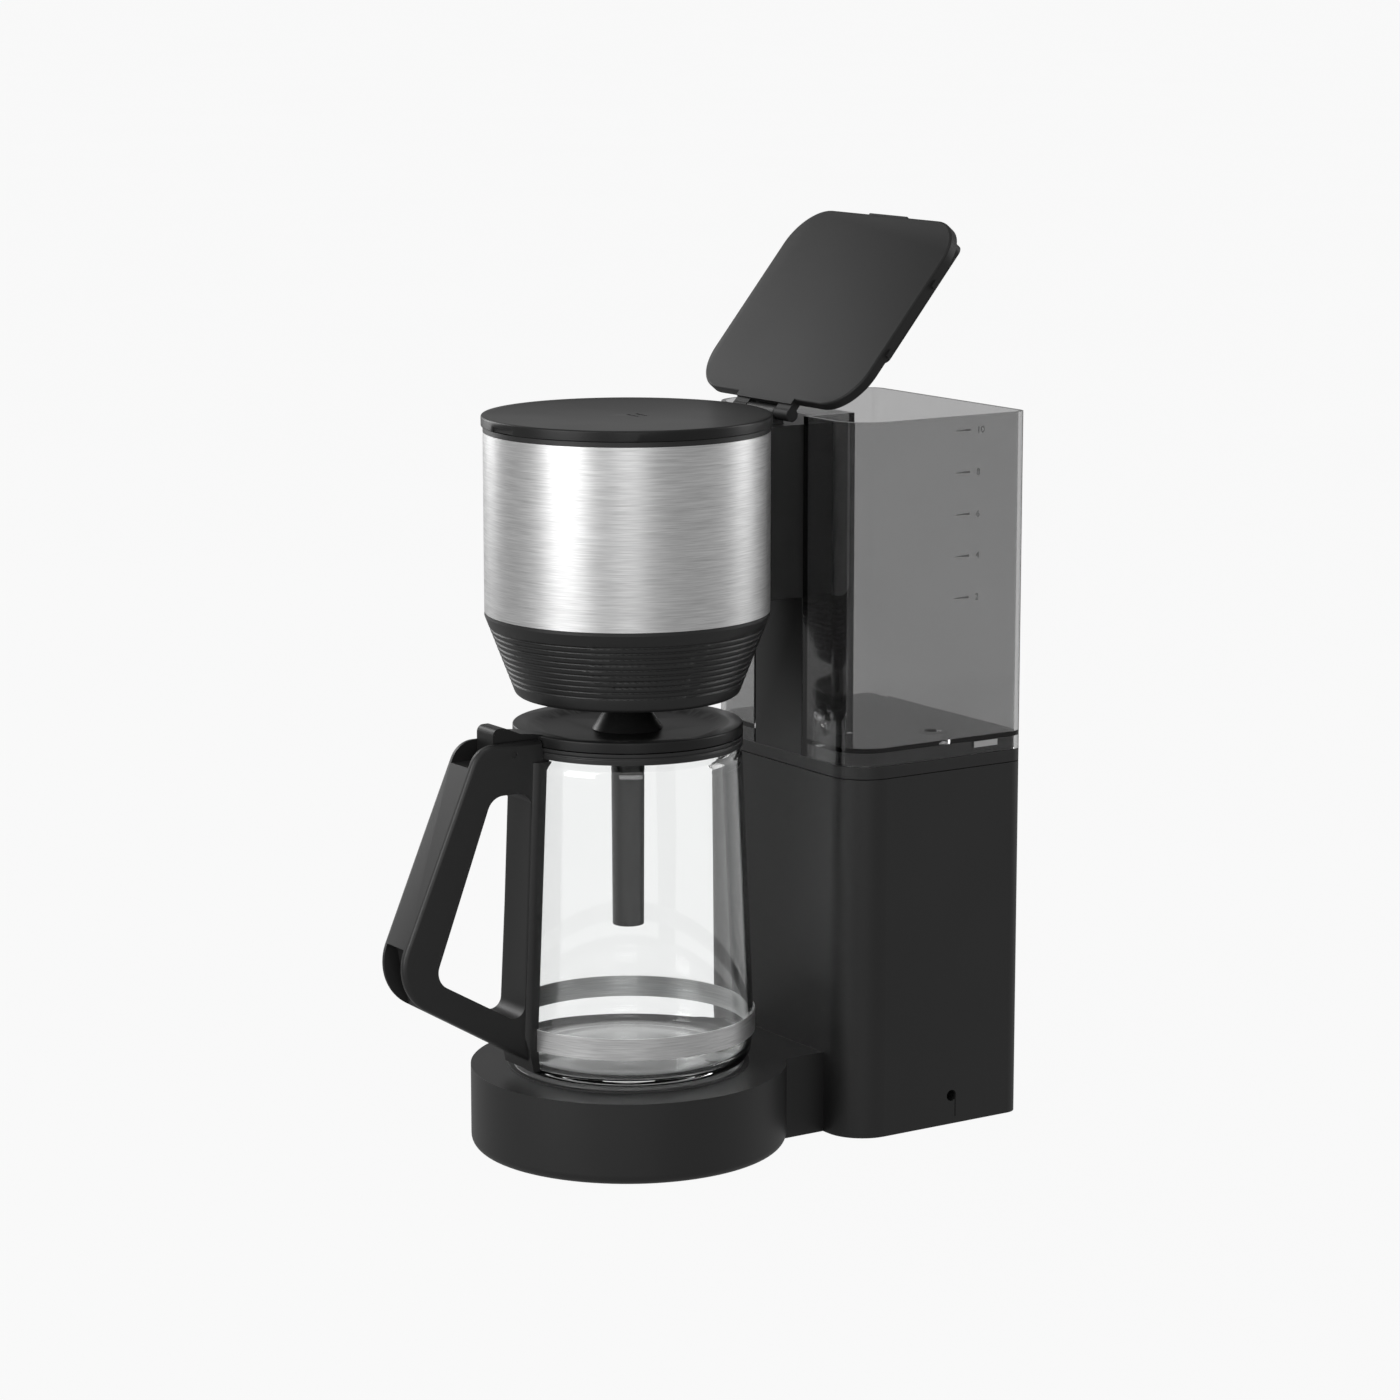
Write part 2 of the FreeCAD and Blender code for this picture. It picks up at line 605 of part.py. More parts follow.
node(cut("bracket",
         block("bracket_bar", f"{bracket_left} - 4", f"{bracket_right} + 4", "-6", "6",
               f"{CASTING_FOOT} - 1.8", CASTING_FOOT),
         *[rod("bracket_hole", "z", "1.6", x, y, f"{CASTING_FOOT} - 3", "5")
           for x, y in BRACKET_PLACES]),
     "heater_bracket")
node(group("bracket_fixings", *[screw(x, y, f"{CASTING_FOOT} - 3.6", "7.5")
                                for x, y in BRACKET_PLACES]), "bracket_screws")
node(join("thermostat_form",
          rod("thermostat_can", "z", "8", "0", "-36", f"{CASTING_FOOT} - 5", "5"),
          block("thermostat_tabs", "-11", "11", "-38", "-34", f"{CASTING_FOOT} - 8",
                f"{CASTING_FOOT} - 4")), "thermostat")
node(join("fuse_form",
          rod("fuse_body", "y", "2", "-36", "10", f"{CASTING_FOOT} - 2", "14"),
          rod("fuse_leads", "y", "0.7", "-36", "7", f"{CASTING_FOOT} - 2", "20")),
     "thermal_fuse")


# ---------------------------------------------------------------- water path

RISER_Y = f"({TOWER_FRONT} + 14)"
BASKET_INNER = "(sleeve_radius - sleeve_wall - basket_wall)"
HOSE, HOSE_BORE = 4.5, 3.65


def route(*points):
    return [tuple(size(value) for value in point) for point in points]


valve_foot = f"({socket_floor} - 12 - 24)"
node(join("valve_form",
          rod("valve_can", "z", "6.5", "outlet_x", OUTLET_Y, f"{valve_foot} + 5", "14"),
          rod("valve_ends", "z", "3.6", "outlet_x", OUTLET_Y, valve_foot, "24")), "check_valve")
node(carried("cold", tube_along(route(
    ("outlet_x", OUTLET_Y, f"{valve_foot} + 4"), ("outlet_x", OUTLET_Y, "70"),
    ("34", f"{OUTLET_Y} - 14", "24"), ("27", f"{TOWER_FRONT} + 8", "17"),
    ("30", "60", "22"), ("water_ring", "37.2", PIPE_Z), ("water_ring", "30.2", PIPE_Z)), HOSE, HOSE_BORE)),
    "cold_hose")
node(carried("hot", tube_along(route(
    ("-water_ring", "30.2", PIPE_Z), ("-water_ring", "37.2", PIPE_Z), ("-30", "60", "22"),
    ("-27", f"{TOWER_FRONT} + 4", "18"), ("-9", f"{TOWER_FRONT} + 18", "50"),
    ("0", RISER_Y, "100"), ("0", RISER_Y, f"{DECK} - 8")), HOSE, HOSE_BORE)), "hot_hose")
node(carried("riser", tube_along(route(
    ("0", RISER_Y, f"{DECK} - 20"), ("0", RISER_Y, TUBE_Z),
    ("0", f"{BASKET_INNER} + 0.4", TUBE_Z)), 3.6, 2.6)), "riser_tube")


# ---------------------------------------------------------------- column and bridge

column_form = join(
    "column_form",
    block("column_post", "-column_half_width", "column_half_width", TOWER_FRONT, COLUMN_BACK,
          DECK_TOP, COLUMN_TOP),
    cut("bridge",
        block("bridge_block", "-column_half_width", "column_half_width", "sleeve_radius - 10",
              f"{TOWER_FRONT} + 1", f"{CONE_TOP} + 0.9", COLUMN_TOP),
        rod("bridge_seat", "z", "sleeve_radius", "0", "0", CONE_TOP, "sleeve_height + 5")),
    block("hinge_web", "-knuckle_half_width", "knuckle_half_width",
          f"{HINGE_Y} - knuckle_radius", f"{HINGE_Y} + knuckle_radius",
          f"{COLUMN_TOP} - 1", HINGE_Z),
    rod("hinge_knuckle", "x", "knuckle_radius", "-knuckle_half_width", HINGE_Y, HINGE_Z,
        "2 * knuckle_half_width"))
cover_half = "(column_half_width - 2.5)"
node(cut("column_hollowed", column_form,
         block("column_channel", "-channel_half_width", "channel_half_width",
               f"{TOWER_FRONT} + column_wall", f"{COLUMN_BACK} + 1", f"{DECK_TOP} - 1",
               f"{COLUMN_TOP} - column_wall"),
         block("bridge_channel", "-channel_half_width", "channel_half_width",
               "sleeve_radius - 12", f"{TOWER_FRONT} + column_wall + 1", f"{TUBE_Z} - 24",
               f"{COLUMN_TOP} - column_wall"),
         block("cover_seat", f"-{cover_half}", cover_half, f"{COLUMN_BACK} - 2.5",
               f"{COLUMN_BACK} + 1", f"{DECK_TOP} - 1", f"{COLUMN_TOP} - 1.5"),
         rod("pin_hole", "x", "pin_radius", "-30", HINGE_Y, HINGE_Z, "60")),
     "column")
node(group("column_back",
           block("column_back_plate", f"-({cover_half} - 0.1)", f"{cover_half} - 0.1",
                 f"{COLUMN_BACK} - 2.5", COLUMN_BACK, DECK_TOP, f"{COLUMN_TOP} - 1.6")),
     "column_cover")
node(group("hinge_pin_form",
           rod("hinge_rod", "x", "pin_radius", "-arm_half_width + 3", HINGE_Y, HINGE_Z,
               "2 * arm_half_width - 6")),
     "hinge_pin")


# ---------------------------------------------------------------- basket

basket_form = turned("basket_form", [
    ("outlet_radius + 2", BASKET_FOOT),
    ("cone_foot_radius", BASKET_FOOT, "cone_round"),
    ("sleeve_radius", f"{CONE_TOP} - 1.5"),
    ("sleeve_radius", CONE_TOP),
    ("sleeve_radius - sleeve_wall", CONE_TOP),
    ("sleeve_radius - sleeve_wall", SLEEVE_TOP),
    ("sleeve_radius", SLEEVE_TOP),
    ("sleeve_radius", FLANGE_TOP),
    (BASKET_INNER, FLANGE_TOP),
    (BASKET_INNER, f"{INSERT_RIM} - 0.2"),
    (f"{BASKET_INNER} - 2", f"{INSERT_RIM} - 0.2"),
    (f"{BASKET_INNER} - 2", f"{CONE_TOP} - 2"),
    ("cone_foot_radius - 3", f"{BASKET_FOOT} + basket_wall"),
    ("outlet_radius + 2", f"{BASKET_FOOT} + basket_wall")])


def groove(number):
    """A fine groove round the cone."""
    height = f"(rib_first + {number} * rib_pitch)"
    flare = "(sleeve_radius - cone_foot_radius) / (cone_height - 1.5)"
    ring = doc.addObject("Part::Torus", "Groove")
    ring.Label = "groove"
    return bind(ring, Radius1=f"cone_foot_radius + {height} * {flare} + 0.9 - rib_depth",
                Radius2="0.9", Placement__Base__z=f"{BASKET_FOOT} + {height}")


node(cut("basket", basket_form, *[groove(number) for number in range(10)],
         rod("nozzle_hole", "y", "4", "0", f"{BASKET_INNER} - 4", TUBE_Z, "10")),
     "basket_body")
node(cut("sleeve",
         turned("sleeve_tube", [("sleeve_radius - sleeve_wall", f"{CONE_TOP} + 0.2"),
                                ("sleeve_radius", f"{CONE_TOP} + 0.2"),
                                ("sleeve_radius", f"{SLEEVE_TOP} - 0.2"),
                                ("sleeve_radius - sleeve_wall", f"{SLEEVE_TOP} - 0.2")]),
         rod("sleeve_hole", "y", "4", "0", f"{BASKET_INNER} - 4", TUBE_Z, "10")),
     "basket_sleeve")

INSERT_FLOOR = f"({BASKET_FOOT} + 6.5)"
INSERT_SIDE = f"({BASKET_INNER} - 2.6)"
node(cut("insert",
         turned("insert_form", [
             ("5", INSERT_FLOOR),
             ("outlet_radius - 3", INSERT_FLOOR),
             ("outlet_radius - 3", f"{BASKET_FOOT} + 1.5"),
             ("outlet_radius", f"{BASKET_FOOT} + 1.5"),
             ("outlet_radius", INSERT_FLOOR),
             ("cone_foot_radius - 5.2", INSERT_FLOOR),
             (INSERT_SIDE, f"{CONE_TOP} + 1"),
             (INSERT_SIDE, INSERT_RIM),
             (f"{BASKET_INNER} - 0.5", INSERT_RIM),
             (f"{BASKET_INNER} - 0.5", f"{INSERT_RIM} + 2"),
             (f"{INSERT_SIDE} - insert_wall", f"{INSERT_RIM} + 2"),
             (f"{INSERT_SIDE} - insert_wall", f"{CONE_TOP} + 1.4"),
             ("cone_foot_radius - 5.8 - insert_wall", f"{INSERT_FLOOR} + 2"),
             ("5", f"{INSERT_FLOOR} + 2")]),
         *[block("grip_notch", low, high, "-5", "5", f"{INSERT_RIM} + 1", f"{INSERT_RIM} + 3")
           for low, high in (("-70", "-64"), ("64", "70"))]),
     "filter_insert")

# The drip stop hangs in the insert's outlet, just over the hub of the jug's lid.
HUB_TOP = f"({JUG_LID_TOP} + hub_rise)"
VALVE_FOOT = f"({HUB_TOP} + 0.4)"
node(join("drip_form",
          rod("drip_flange", "z", "7.5", "0", "0", VALVE_FOOT, "1.8"),
          rod("drip_stem", "z", "2.4", "0", "0", f"{VALVE_FOOT} + 1",
              f"{INSERT_FLOOR} + 8 - {VALVE_FOOT}"),
          rod("drip_cap", "z", "7.6", "0", "0", f"{INSERT_FLOOR} + 7.5", "2.2")),
     "drip_stop")
node(turned("drip_ring", [("4", f"{INSERT_FLOOR} + 2"), ("8", f"{INSERT_FLOOR} + 2"),
                          ("8", f"{INSERT_FLOOR} + 3.4"), ("5", f"{INSERT_FLOOR} + 3.4")]),
     "drip_seal")


SPRING_WIRE = 0.4


def coil(ring, room, turns):
    """A compression spring about the upright axis that stands in the given room."""
    height = size(room) - 2 * SPRING_WIRE
    helix = Part.makeHelix(height / turns, height, ring)
    section = Part.Circle(FreeCAD.Vector(ring, 0, 0), FreeCAD.Vector(0, 1, 0), SPRING_WIRE)
    return Part.Wire(helix.Edges).makePipeShell([Part.Wire([section.toShape()])], True, True)


spring_foot = f"({VALVE_FOOT} + 1.9)"
node(carried("drip_coil", coil(5.6, f"{INSERT_FLOOR} - 0.1 - {spring_foot}", 4)),
     "drip_spring", z=f"{spring_foot} + {SPRING_WIRE}")

# Basket lid with the water spreader that hangs under it.
LID = f"({FLANGE_TOP} + fit_gap)"
LID_TOP = f"({LID} + lid_rim)"
lid_under = f"({LID_TOP} - lid_dish - 3)"
node(cut("lid",
         turned("lid_form", [
             ("0", f"{LID_TOP} - lid_dish"), ("lid_radius - 5", f"{LID_TOP} - 0.4"),
             ("lid_radius - 3.4", LID_TOP), ("lid_radius", LID_TOP, "1"),
             ("lid_radius", LID), (f"{BASKET_INNER} - 0.5", LID),
             (f"{BASKET_INNER} - 0.5", f"{LID} - lid_plug"),
             (f"{BASKET_INNER} - 2.5", f"{LID} - lid_plug"),
             (f"{BASKET_INNER} - 2.5", lid_under), ("0", lid_under)]),
         block("thumb_notch", "-9", "9", "-lid_radius - 1", "-lid_radius + 1.2",
               f"{LID} - 1", f"{LID} + 2.4"),
         *[block("steam_slot", "-5", "5", y, f"{y} + 1.8", f"{LID_TOP} - lid_dish - 1",
                 f"{LID_TOP} + 1") for y in ("3", "8")]),
     "basket_lid")
SPREADER = f"({SLEEVE_TOP} - 14)"
HOLE_RING = 24
node(cut("spreader",
         join("spreader_form",
              rod("spreader_pan", "z", "40", "0", "0", SPREADER, f"{lid_under} - {SPREADER}"),
              block("gutter_form", "-8", "8", "0", f"{BASKET_INNER} - 5", SPREADER,
                    f"{SPREADER} + 7")),
         rod("spreader_hollow", "z", "38.4", "0", "0", f"{SPREADER} + 1.6", "40"),
         block("gutter_hollow", "-6.4", "6.4", "0", f"{BASKET_INNER} - 4", f"{SPREADER} + 1.6",
               f"{SPREADER} + 8"),
         *[rod("spray_hole", "z", "1.6", str(round(HOLE_RING * math.cos(math.radians(turn)), 3)),
               str(round(HOLE_RING * math.sin(math.radians(turn)), 3)), f"{SPREADER} - 1", "4")
           for turn in range(0, 360, 45)]),
     "spray_head")


# ---------------------------------------------------------------- tank

CLIP_Y = f"({TOWER_BACK} - 25)"
TANK_FOOT = f"({DECK_TOP} + 0.2)"


def clip_block(label, side, gap):
    """The catch that holds the foot of the tank, or its seat when gap is set."""
    low, high = "tower_half_width - 1.3", "tower_half_width + 0.2"
    if side < 0:
        low, high = f"-({high})", f"-({low})"
    return block(label, low, high, f"{CLIP_Y} - clip_length / 2 - {gap}",
                 f"{CLIP_Y} + clip_length / 2 + {gap}", f"{DECK_TOP} + 3.6 - {gap}",
                 f"{DECK_TOP} + 6.6 + {gap}")


node(cut("tank_shell",
         join("tank_form",
              cut("tank_with_skirt", notched("tank_outside", "0", TANK_FOOT, TANK_TOP),
                  notched("skirt_hollow", "tank_wall", f"{DECK_TOP} - 1", f"{PLATFORM} + 0.3")),
              rod("tank_boss", "z", "6.5", "outlet_x", OUTLET_Y, f"{DECK_TOP} - 8",
                  "platform_rise + 9")),
         notched("tank_inside", "tank_wall", f"{PLATFORM} + 0.3 + tank_floor",
                 f"{TANK_TOP} + 1"),
         rod("boss_bore", "z", "4", "outlet_x", OUTLET_Y, f"{DECK_TOP} - 9", "30"),
         clip_block("clip_seat", 1, "0.1"), clip_block("clip_seat", -1, "0.1")),
     "water_tank")
node(group("tank_catches", clip_block("clip", 1, "0"), clip_block("clip", -1, "0")),
     "tank_clips")
node(cut("outlet_ring",
         rod("ring_outside", "z", "8.2", "outlet_x", OUTLET_Y, f"{DECK_TOP} - 5", "3"),
         rod("ring_inside", "z", "6.5", "outlet_x", OUTLET_Y, f"{DECK_TOP} - 6", "5")),
     "outlet_seal")

# Tank lid, drawn shut about its hinge axis and turned open at the end.
plate_low = "(-plate_rise)"
plate_high = "(plate_thick - plate_rise)"
plate_end = "(plate_offset + plate_length)"
lid_plate = prism("plate_form_lid", "XY_Plane",
                  rectangle("-plate_half_width", "plate_half_width", "plate_offset", plate_end,
                            "plate_round", "plate_round"), plate_low, plate_high)
top_level = size(plate_high)
round_edges(lid_plate, lid_plate.Tip,
            [("1.2", lambda edge: all(close(vertex.Z, top_level) for vertex in edge.Vertexes))])
lip_x = "(tower_half_width - tank_wall - 1.4)"
lip_low = f"({notch_back} + tank_wall + 1.8 - {HINGE_Y})"
lip_high = f"({TOWER_BACK} - tank_wall - 1.4 - {HINGE_Y})"
lip = cut("lip",
          prism("lip_form", "XY_Plane",
                rectangle(f"-{lip_x}", lip_x, lip_low, lip_high, "3", "5"),
                f"{plate_low} - 5", f"{plate_low} + 1"),
          prism("lip_hollow", "XY_Plane",
                rectangle(f"-({lip_x} - 1.6)", f"{lip_x} - 1.6", f"{lip_low} + 1.6",
                          f"{lip_high} - 1.6", "2", "3.4"),
                f"{plate_low} - 6", plate_low))
arms = [block("lid_arm", "-arm_half_width", "arm_half_width", "knuckle_radius + 0.4",
              "plate_offset + 8", plate_low, plate_high)]
for start in ("-arm_half_width", "knuckle_half_width + 0.4"):
    arms.append(rod("lid_knuckle", "x", "knuckle_radius", start, "0", "0",
                    "arm_half_width - knuckle_half_width - 0.4"))
    arms.append(block("knuckle_web", start, f"{start} + arm_half_width - knuckle_half_width - 0.4",
                      "0", "plate_offset", plate_low, "knuckle_radius - 0.2"))
tabs = [block("lid_tab", low, high, f"{y} - 2", f"{y} + 2", plate_low, f"{plate_low} + 2.2")
        for y in ("42", "84")
        for low, high in (("-(plate_half_width + 1)", "-(plate_half_width - 2)"),
                          ("plate_half_width - 2", "plate_half_width + 1"))]
tabs.append(block("finger_tab", "-16", "16", f"{plate_end} - 2", f"{plate_end} + 1.6",
                  plate_low, f"{plate_low} + 3"))
node(cut("lid_with_pin_hole", join("tank_lid_form", lid_plate, lip, *arms, *tabs),
         rod("lid_pin_hole", "x", "pin_radius + running_gap", "-arm_half_width + 2.7", "0", "0",
             "2 * arm_half_width - 5.4")),
     "tank_lid", turn="plate_open", y=HINGE_Y, z=HINGE_Z)


# ---------------------------------------------------------------- controls and wiring

SWITCH_X = "(tower_half_width - 14)"
node(join("button_form",
          rod("button_cap", "x", "button_radius", "-(tower_half_width + button_proud)", BUTTON_Y,
              "button_height", "4.5"),
          rod("button_stem", "x", "3", "-(tower_half_width + button_proud - 4)", BUTTON_Y,
              "button_height", f"tower_half_width + button_proud - 4 - {SWITCH_X} - 0.4")),
     "power_button")
node(cut("bezel",
         rod("bezel_outside", "x", "button_radius + 2.4", "-(tower_half_width + 0.6)", BUTTON_Y,
             "button_height", "casing_wall + 3"),
         rod("bezel_inside", "x", "button_radius + 0.4", "-(tower_half_width + 1)", BUTTON_Y,
             "button_height", "casing_wall + 5")),
     "button_ring")
node(cut("switch_body",
         join("switch_form",
              block("switch_block", f"-{SWITCH_X}", f"-({SWITCH_X} - 16)", f"{BUTTON_Y} - 9",
                    f"{BUTTON_Y} + 9", "button_height - 9", "button_height + 9"),
              *[block("switch_leg", "-(tower_half_width - casing_wall - 3.2)",
                      f"-({SWITCH_X} - 2)", f"{BUTTON_Y} - 3", f"{BUTTON_Y} + 3",
                      f"button_height + {low}", f"button_height + {high}")
                for low, high in (("-14", "-8.6"), ("8.6", "14"))]),
         rod("switch_bore", "x", "3.4", f"-{SWITCH_X} - 1", BUTTON_Y, "button_height", "6")),
     "switch_module")
node(join("terminal_form",
          block("terminal_base", "-16", "16", f"{TOWER_BACK} - 64", f"{TOWER_BACK} - 46",
                PLATE_FACE, "8"),
          *[block("terminal_rib", f"{x} - 3.5", f"{x} + 3.5", f"{TOWER_BACK} - 61",
                  f"{TOWER_BACK} - 49", "7", "16") for x in ("-11", "0", "11")]),
     "terminal_block")
node(cut("clamp",
         block("clamp_block", "tower_half_width - 22", "tower_half_width - casing_wall",
               f"{CORD_Y} - 8", f"{CORD_Y} + 8", LEDGE_TOP, "cord_hole_height + 9"),
         rod("clamp_bore", "x", "cord_hole_radius", "0", CORD_Y, "cord_hole_height", "80")),
     "cord_clamp")
WIRE = 2.2
node(carried("switch_leads", tube_along(route(
    ("-11", f"{TOWER_BACK} - 49", "12"), ("-11", f"{TOWER_BACK} - 30", "12"),
    ("-26", f"{TOWER_BACK} - 30", "40"), (f"-({SWITCH_X} - 8)", BUTTON_Y, "90"),
    (f"-({SWITCH_X} - 8)", BUTTON_Y, "button_height - 9")), WIRE)), "switch_wiring")
node(carried("heater_leads", tube_along(route(
    ("0", f"{TOWER_BACK} - 61", "12"), ("0", f"{TOWER_BACK} - 78", "12"),
    ("0", f"{TOWER_FRONT} - 30", "9"), ("6", "30", "12"), ("10", "0", "15"), ("9", "-30", "21")),
    WIRE)), "heater_wiring")


# ---------------------------------------------------------------- jug

def jug_radius(height):
    """Outside radius of the glass between its belly and its shoulder."""
    fall = "(jug_belly_radius - jug_shoulder_radius)"
    run = "(jug_height - jug_shoulder_drop - jug_belly_height)"
    return f"(jug_belly_radius - {fall} * (({height}) - jug_belly_height) / {run})"


def jug_form(label, inset, low, high):
    """The jug's turned form, its wall moved in by inset."""
    return turned(label, [
        ("0", low),
        (f"jug_foot_radius - ({inset})", low, f"jug_foot_round - ({inset})"),
        (f"jug_belly_radius - ({inset})", f"{SEAT} + jug_belly_height"),
        (f"jug_shoulder_radius - ({inset})", f"{NECK} - jug_shoulder_drop"),
        (f"jug_neck_radius - ({inset})", NECK),
        (f"jug_neck_radius - ({inset})", high),
        ("0", high)])


NECK_TOP = f"({NECK} + jug_neck_height)"
spout_y = "(spout_reach - spout_radius)"
spout_low = f"({NECK_TOP} - spout_height)"
node(cut("glass",
         join("glass_outside", jug_form("glass_form", "0", SEAT, NECK_TOP),
              cone("spout_form", "1.5", "spout_radius", "0", spout_y, spout_low,
                   "spout_height - 3.2")),
         jug_form("glass_inside", "glass_wall", f"{SEAT} + glass_wall + 1", f"{NECK_TOP} + 1"),
         cone("spout_inside", "0.5", "spout_radius - 1.6", "0", spout_y, f"{spout_low} + 1.4",
              "spout_height - 4.4")),
     "jug_glass")
band_radius = "(jug_belly_radius + 0.05)"
node(turned("band", [(band_radius, f"{SEAT} + band_low"),
                     (f"{band_radius} + band_sheet", f"{SEAT} + band_low"),
                     (f"{band_radius} + band_sheet", f"{SEAT} + band_low + band_height"),
                     (band_radius, f"{SEAT} + band_low + band_height")]),
     "jug_band")
node(cut("collar",
         turned("collar_ring", [("jug_neck_radius + 0.05", COLLAR), ("collar_radius", COLLAR),
                                ("collar_radius", f"{COLLAR} + 2.4"),
                                ("collar_radius - 0.5", f"{COLLAR} + 2.8"),
                                ("collar_radius - 0.5", f"{COLLAR} + 3.4"),
                                ("collar_radius", f"{COLLAR} + 3.8"),
                                ("collar_radius", COLLAR_TOP),
                                ("jug_neck_radius + 0.05", COLLAR_TOP)]),
         block("spout_gap", "-12", "12", "30", "80", f"{COLLAR} - 1", f"{COLLAR_TOP} + 1")),
     "jug_collar")

# Handle: side outline of the grip less the finger hole, with a strip on the glass.
HANDLE_TOP = f"({NECK} + grip_top_rise)"
PIN_Z = f"({NECK} + pin_rise)"
HOLE_TOP = "(jug_height - 15.2)"
STRIP_TOP = "(jug_height - 9.7)"
strip_face = f"({jug_radius('30')} + strip_thick + 0.6)"
grip = prism("grip_blank", "YZ_Plane", [
    ("-(jug_neck_radius - 3)", HANDLE_TOP),
    ("-grip_top_reach", HANDLE_TOP, "grip_top_round"),
    ("-grip_reach", f"{SEAT} + grip_corner_height", "grip_corner_round"),
    ("-(jug_neck_radius - 3)", f"{SEAT} + 1.5")], "-handle_half_width", "handle_half_width")
side_level = size("handle_half_width")
round_edges(grip, grip.Tip,
            [("handle_edge", lambda edge: all(close(abs(vertex.X), side_level)
                                              for vertex in edge.Vertexes)
              and edge.CenterOfMass.y < -size("jug_neck_radius"))])
window = prism("finger_hole", "YZ_Plane", [
    (f"-({jug_radius(HOLE_TOP)} + strip_thick - 0.6)", f"{SEAT} + {HOLE_TOP}", "9"),
    ("-84.5", f"{SEAT} + {HOLE_TOP}", "9"),
    ("-117.3", f"{SEAT} + 57.6", "9"),
    (f"-{strip_face}", f"{SEAT} + 29", "6")], "-30", "30")
strip_side = size("strip_half_width")
strip = prism("strip_form", "YZ_Plane", [
    ("-(jug_neck_radius - 3)", f"{NECK} - 1"),
    (f"-({jug_radius(STRIP_TOP)} + strip_thick)", f"{NECK} - 1"),
    (f"-{strip_face}", f"{SEAT} + 24"),
    (f"-({strip_face} - 4)", f"{SEAT} + 5"),
    ("-(jug_neck_radius - 3)", f"{SEAT} + 5")], "-strip_half_width", "strip_half_width")
round_edges(strip, strip.Tip,
            [("3.6", lambda edge: edge.CenterOfMass.y < -size(jug_radius(STRIP_TOP)) - 1
              and all(close(abs(vertex.X), strip_side) for vertex in edge.Vertexes)
              and edge.Length > 50)])
node(cut("handle",
         join("handle_form", cut("grip_with_hole", grip, window), strip),
         jug_form("glass_seat", "0", f"{SEAT} - 1", NECK_TOP),
         rod("band_seat", "z", f"{band_radius} + band_sheet", "0", "0",
             f"{SEAT} + band_low - 0.3", "band_height + 0.6"),
         rod("collar_seat", "z", "collar_radius + 0.05", "0", "0", f"{COLLAR} - 0.2", "60"),
         rod("lid_seat", "z", "collar_radius + 0.8", "0", "0", f"{COLLAR_TOP} + 0.2", "60"),
         block("tongue_slot", "-(tongue_half_width + 0.4)", "tongue_half_width + 0.4",
               "-(pin_reach + 40)", "-(collar_radius - 4)", f"{PIN_Z} - 4.4",
               f"{HANDLE_TOP} + 1"),
         prism("corner_recess", "YZ_Plane", [
             ("-(grip_reach - 13.3)", f"{SEAT} + grip_corner_height + 20"),
             ("-(grip_reach + 10)", f"{SEAT} + grip_corner_height + 20"),
             ("-(grip_reach + 10)", f"{SEAT} + grip_corner_height - 12"),
             ("-(grip_reach - 20)", f"{SEAT} + grip_corner_height - 12")],
             "-(tongue_half_width + 0.4)", "tongue_half_width + 0.4"),
         rod("jug_pin_hole", "x", "pin_radius", "-handle_half_width - 1", "-pin_reach", PIN_Z,
             "2 * handle_half_width + 2")),
     "jug_handle")
node(group("jug_pin_form",
           rod("jug_pin_rod", "x", "pin_radius", "-handle_half_width + 0.4", "-pin_reach", PIN_Z,
               "2 * handle_half_width - 0.8")),
     "jug_hinge_pin")

# Jug lid: dished disc with a hub, a plug in the neck and the tongue to the thumb lever.
plug_out = "(jug_neck_radius - glass_wall - 0.6)"
dish = f"({JUG_LID} + jug_lid_floor)"
lid_disc = turned("jug_lid_form", [
    ("brew_tube_bore", JUG_LID), (f"{plug_out} - 2.2", JUG_LID), (f"{plug_out} - 2.2", COLLAR),
    (plug_out, COLLAR), (plug_out, JUG_LID), ("collar_radius", JUG_LID),
    ("collar_radius", JUG_LID_TOP, "0.8"), ("jug_lid_dish_radius + 2", JUG_LID_TOP),
    ("jug_lid_dish_radius - 5", dish), ("hub_foot_radius", dish),
    ("hub_top_radius", HUB_TOP), ("brew_tube_bore", HUB_TOP)])
tongue = prism("tongue_form", "YZ_Plane", [
    ("-50", f"{JUG_LID} + 0.2"),
    ("-(collar_radius + 0.7)", f"{JUG_LID} + 0.2"),
    ("-(collar_radius + 0.7)", f"{PIN_Z} - 2.4"),
    ("-(pin_reach + 9.5)", f"{PIN_Z} - 2.4", "2"),
    ("-(pin_reach + 9.5)", f"{PIN_Z} + 12.8", "3.4"),
    ("-(pin_reach + 3)", f"{PIN_Z} + 12.8", "3"),
    ("-(pin_reach - 6)", f"{PIN_Z} + 9"),
    ("-(collar_radius + 2)", f"{PIN_Z} + 8.2"),
    ("-50", f"{JUG_LID_TOP} - 0.4")], "-tongue_half_width", "tongue_half_width")
node(cut("jug_lid_with_hole", join("jug_lid_solid", lid_disc, tongue),
         rod("tongue_pin_hole", "x", "pin_radius + running_gap", "-20", "-pin_reach", PIN_Z,
             "40")),
     "jug_lid")
tube_low = f"({JUG_LID} - brew_tube_length)"
node(turned("tube_form", [("brew_tube_bore", JUG_LID), ("brew_tube_radius", JUG_LID),
                          ("brew_tube_radius - brew_tube_taper", tube_low),
                          ("brew_tube_bore - brew_tube_taper", tube_low)]),
     "brew_tube")


# ---------------------------------------------------------------- placing and writing

FRAME_SHIFT = f"-({grip.Name}.Shape.BoundBox.YMin + {linked(TOWER_BACK)}) / 2"
for piece, y, z in nodes:
    piece.setExpression("Placement.Base.y", f"{linked(y)} + {FRAME_SHIFT}")
    piece.setExpression("Placement.Base.z", linked(z))
doc.recompute()

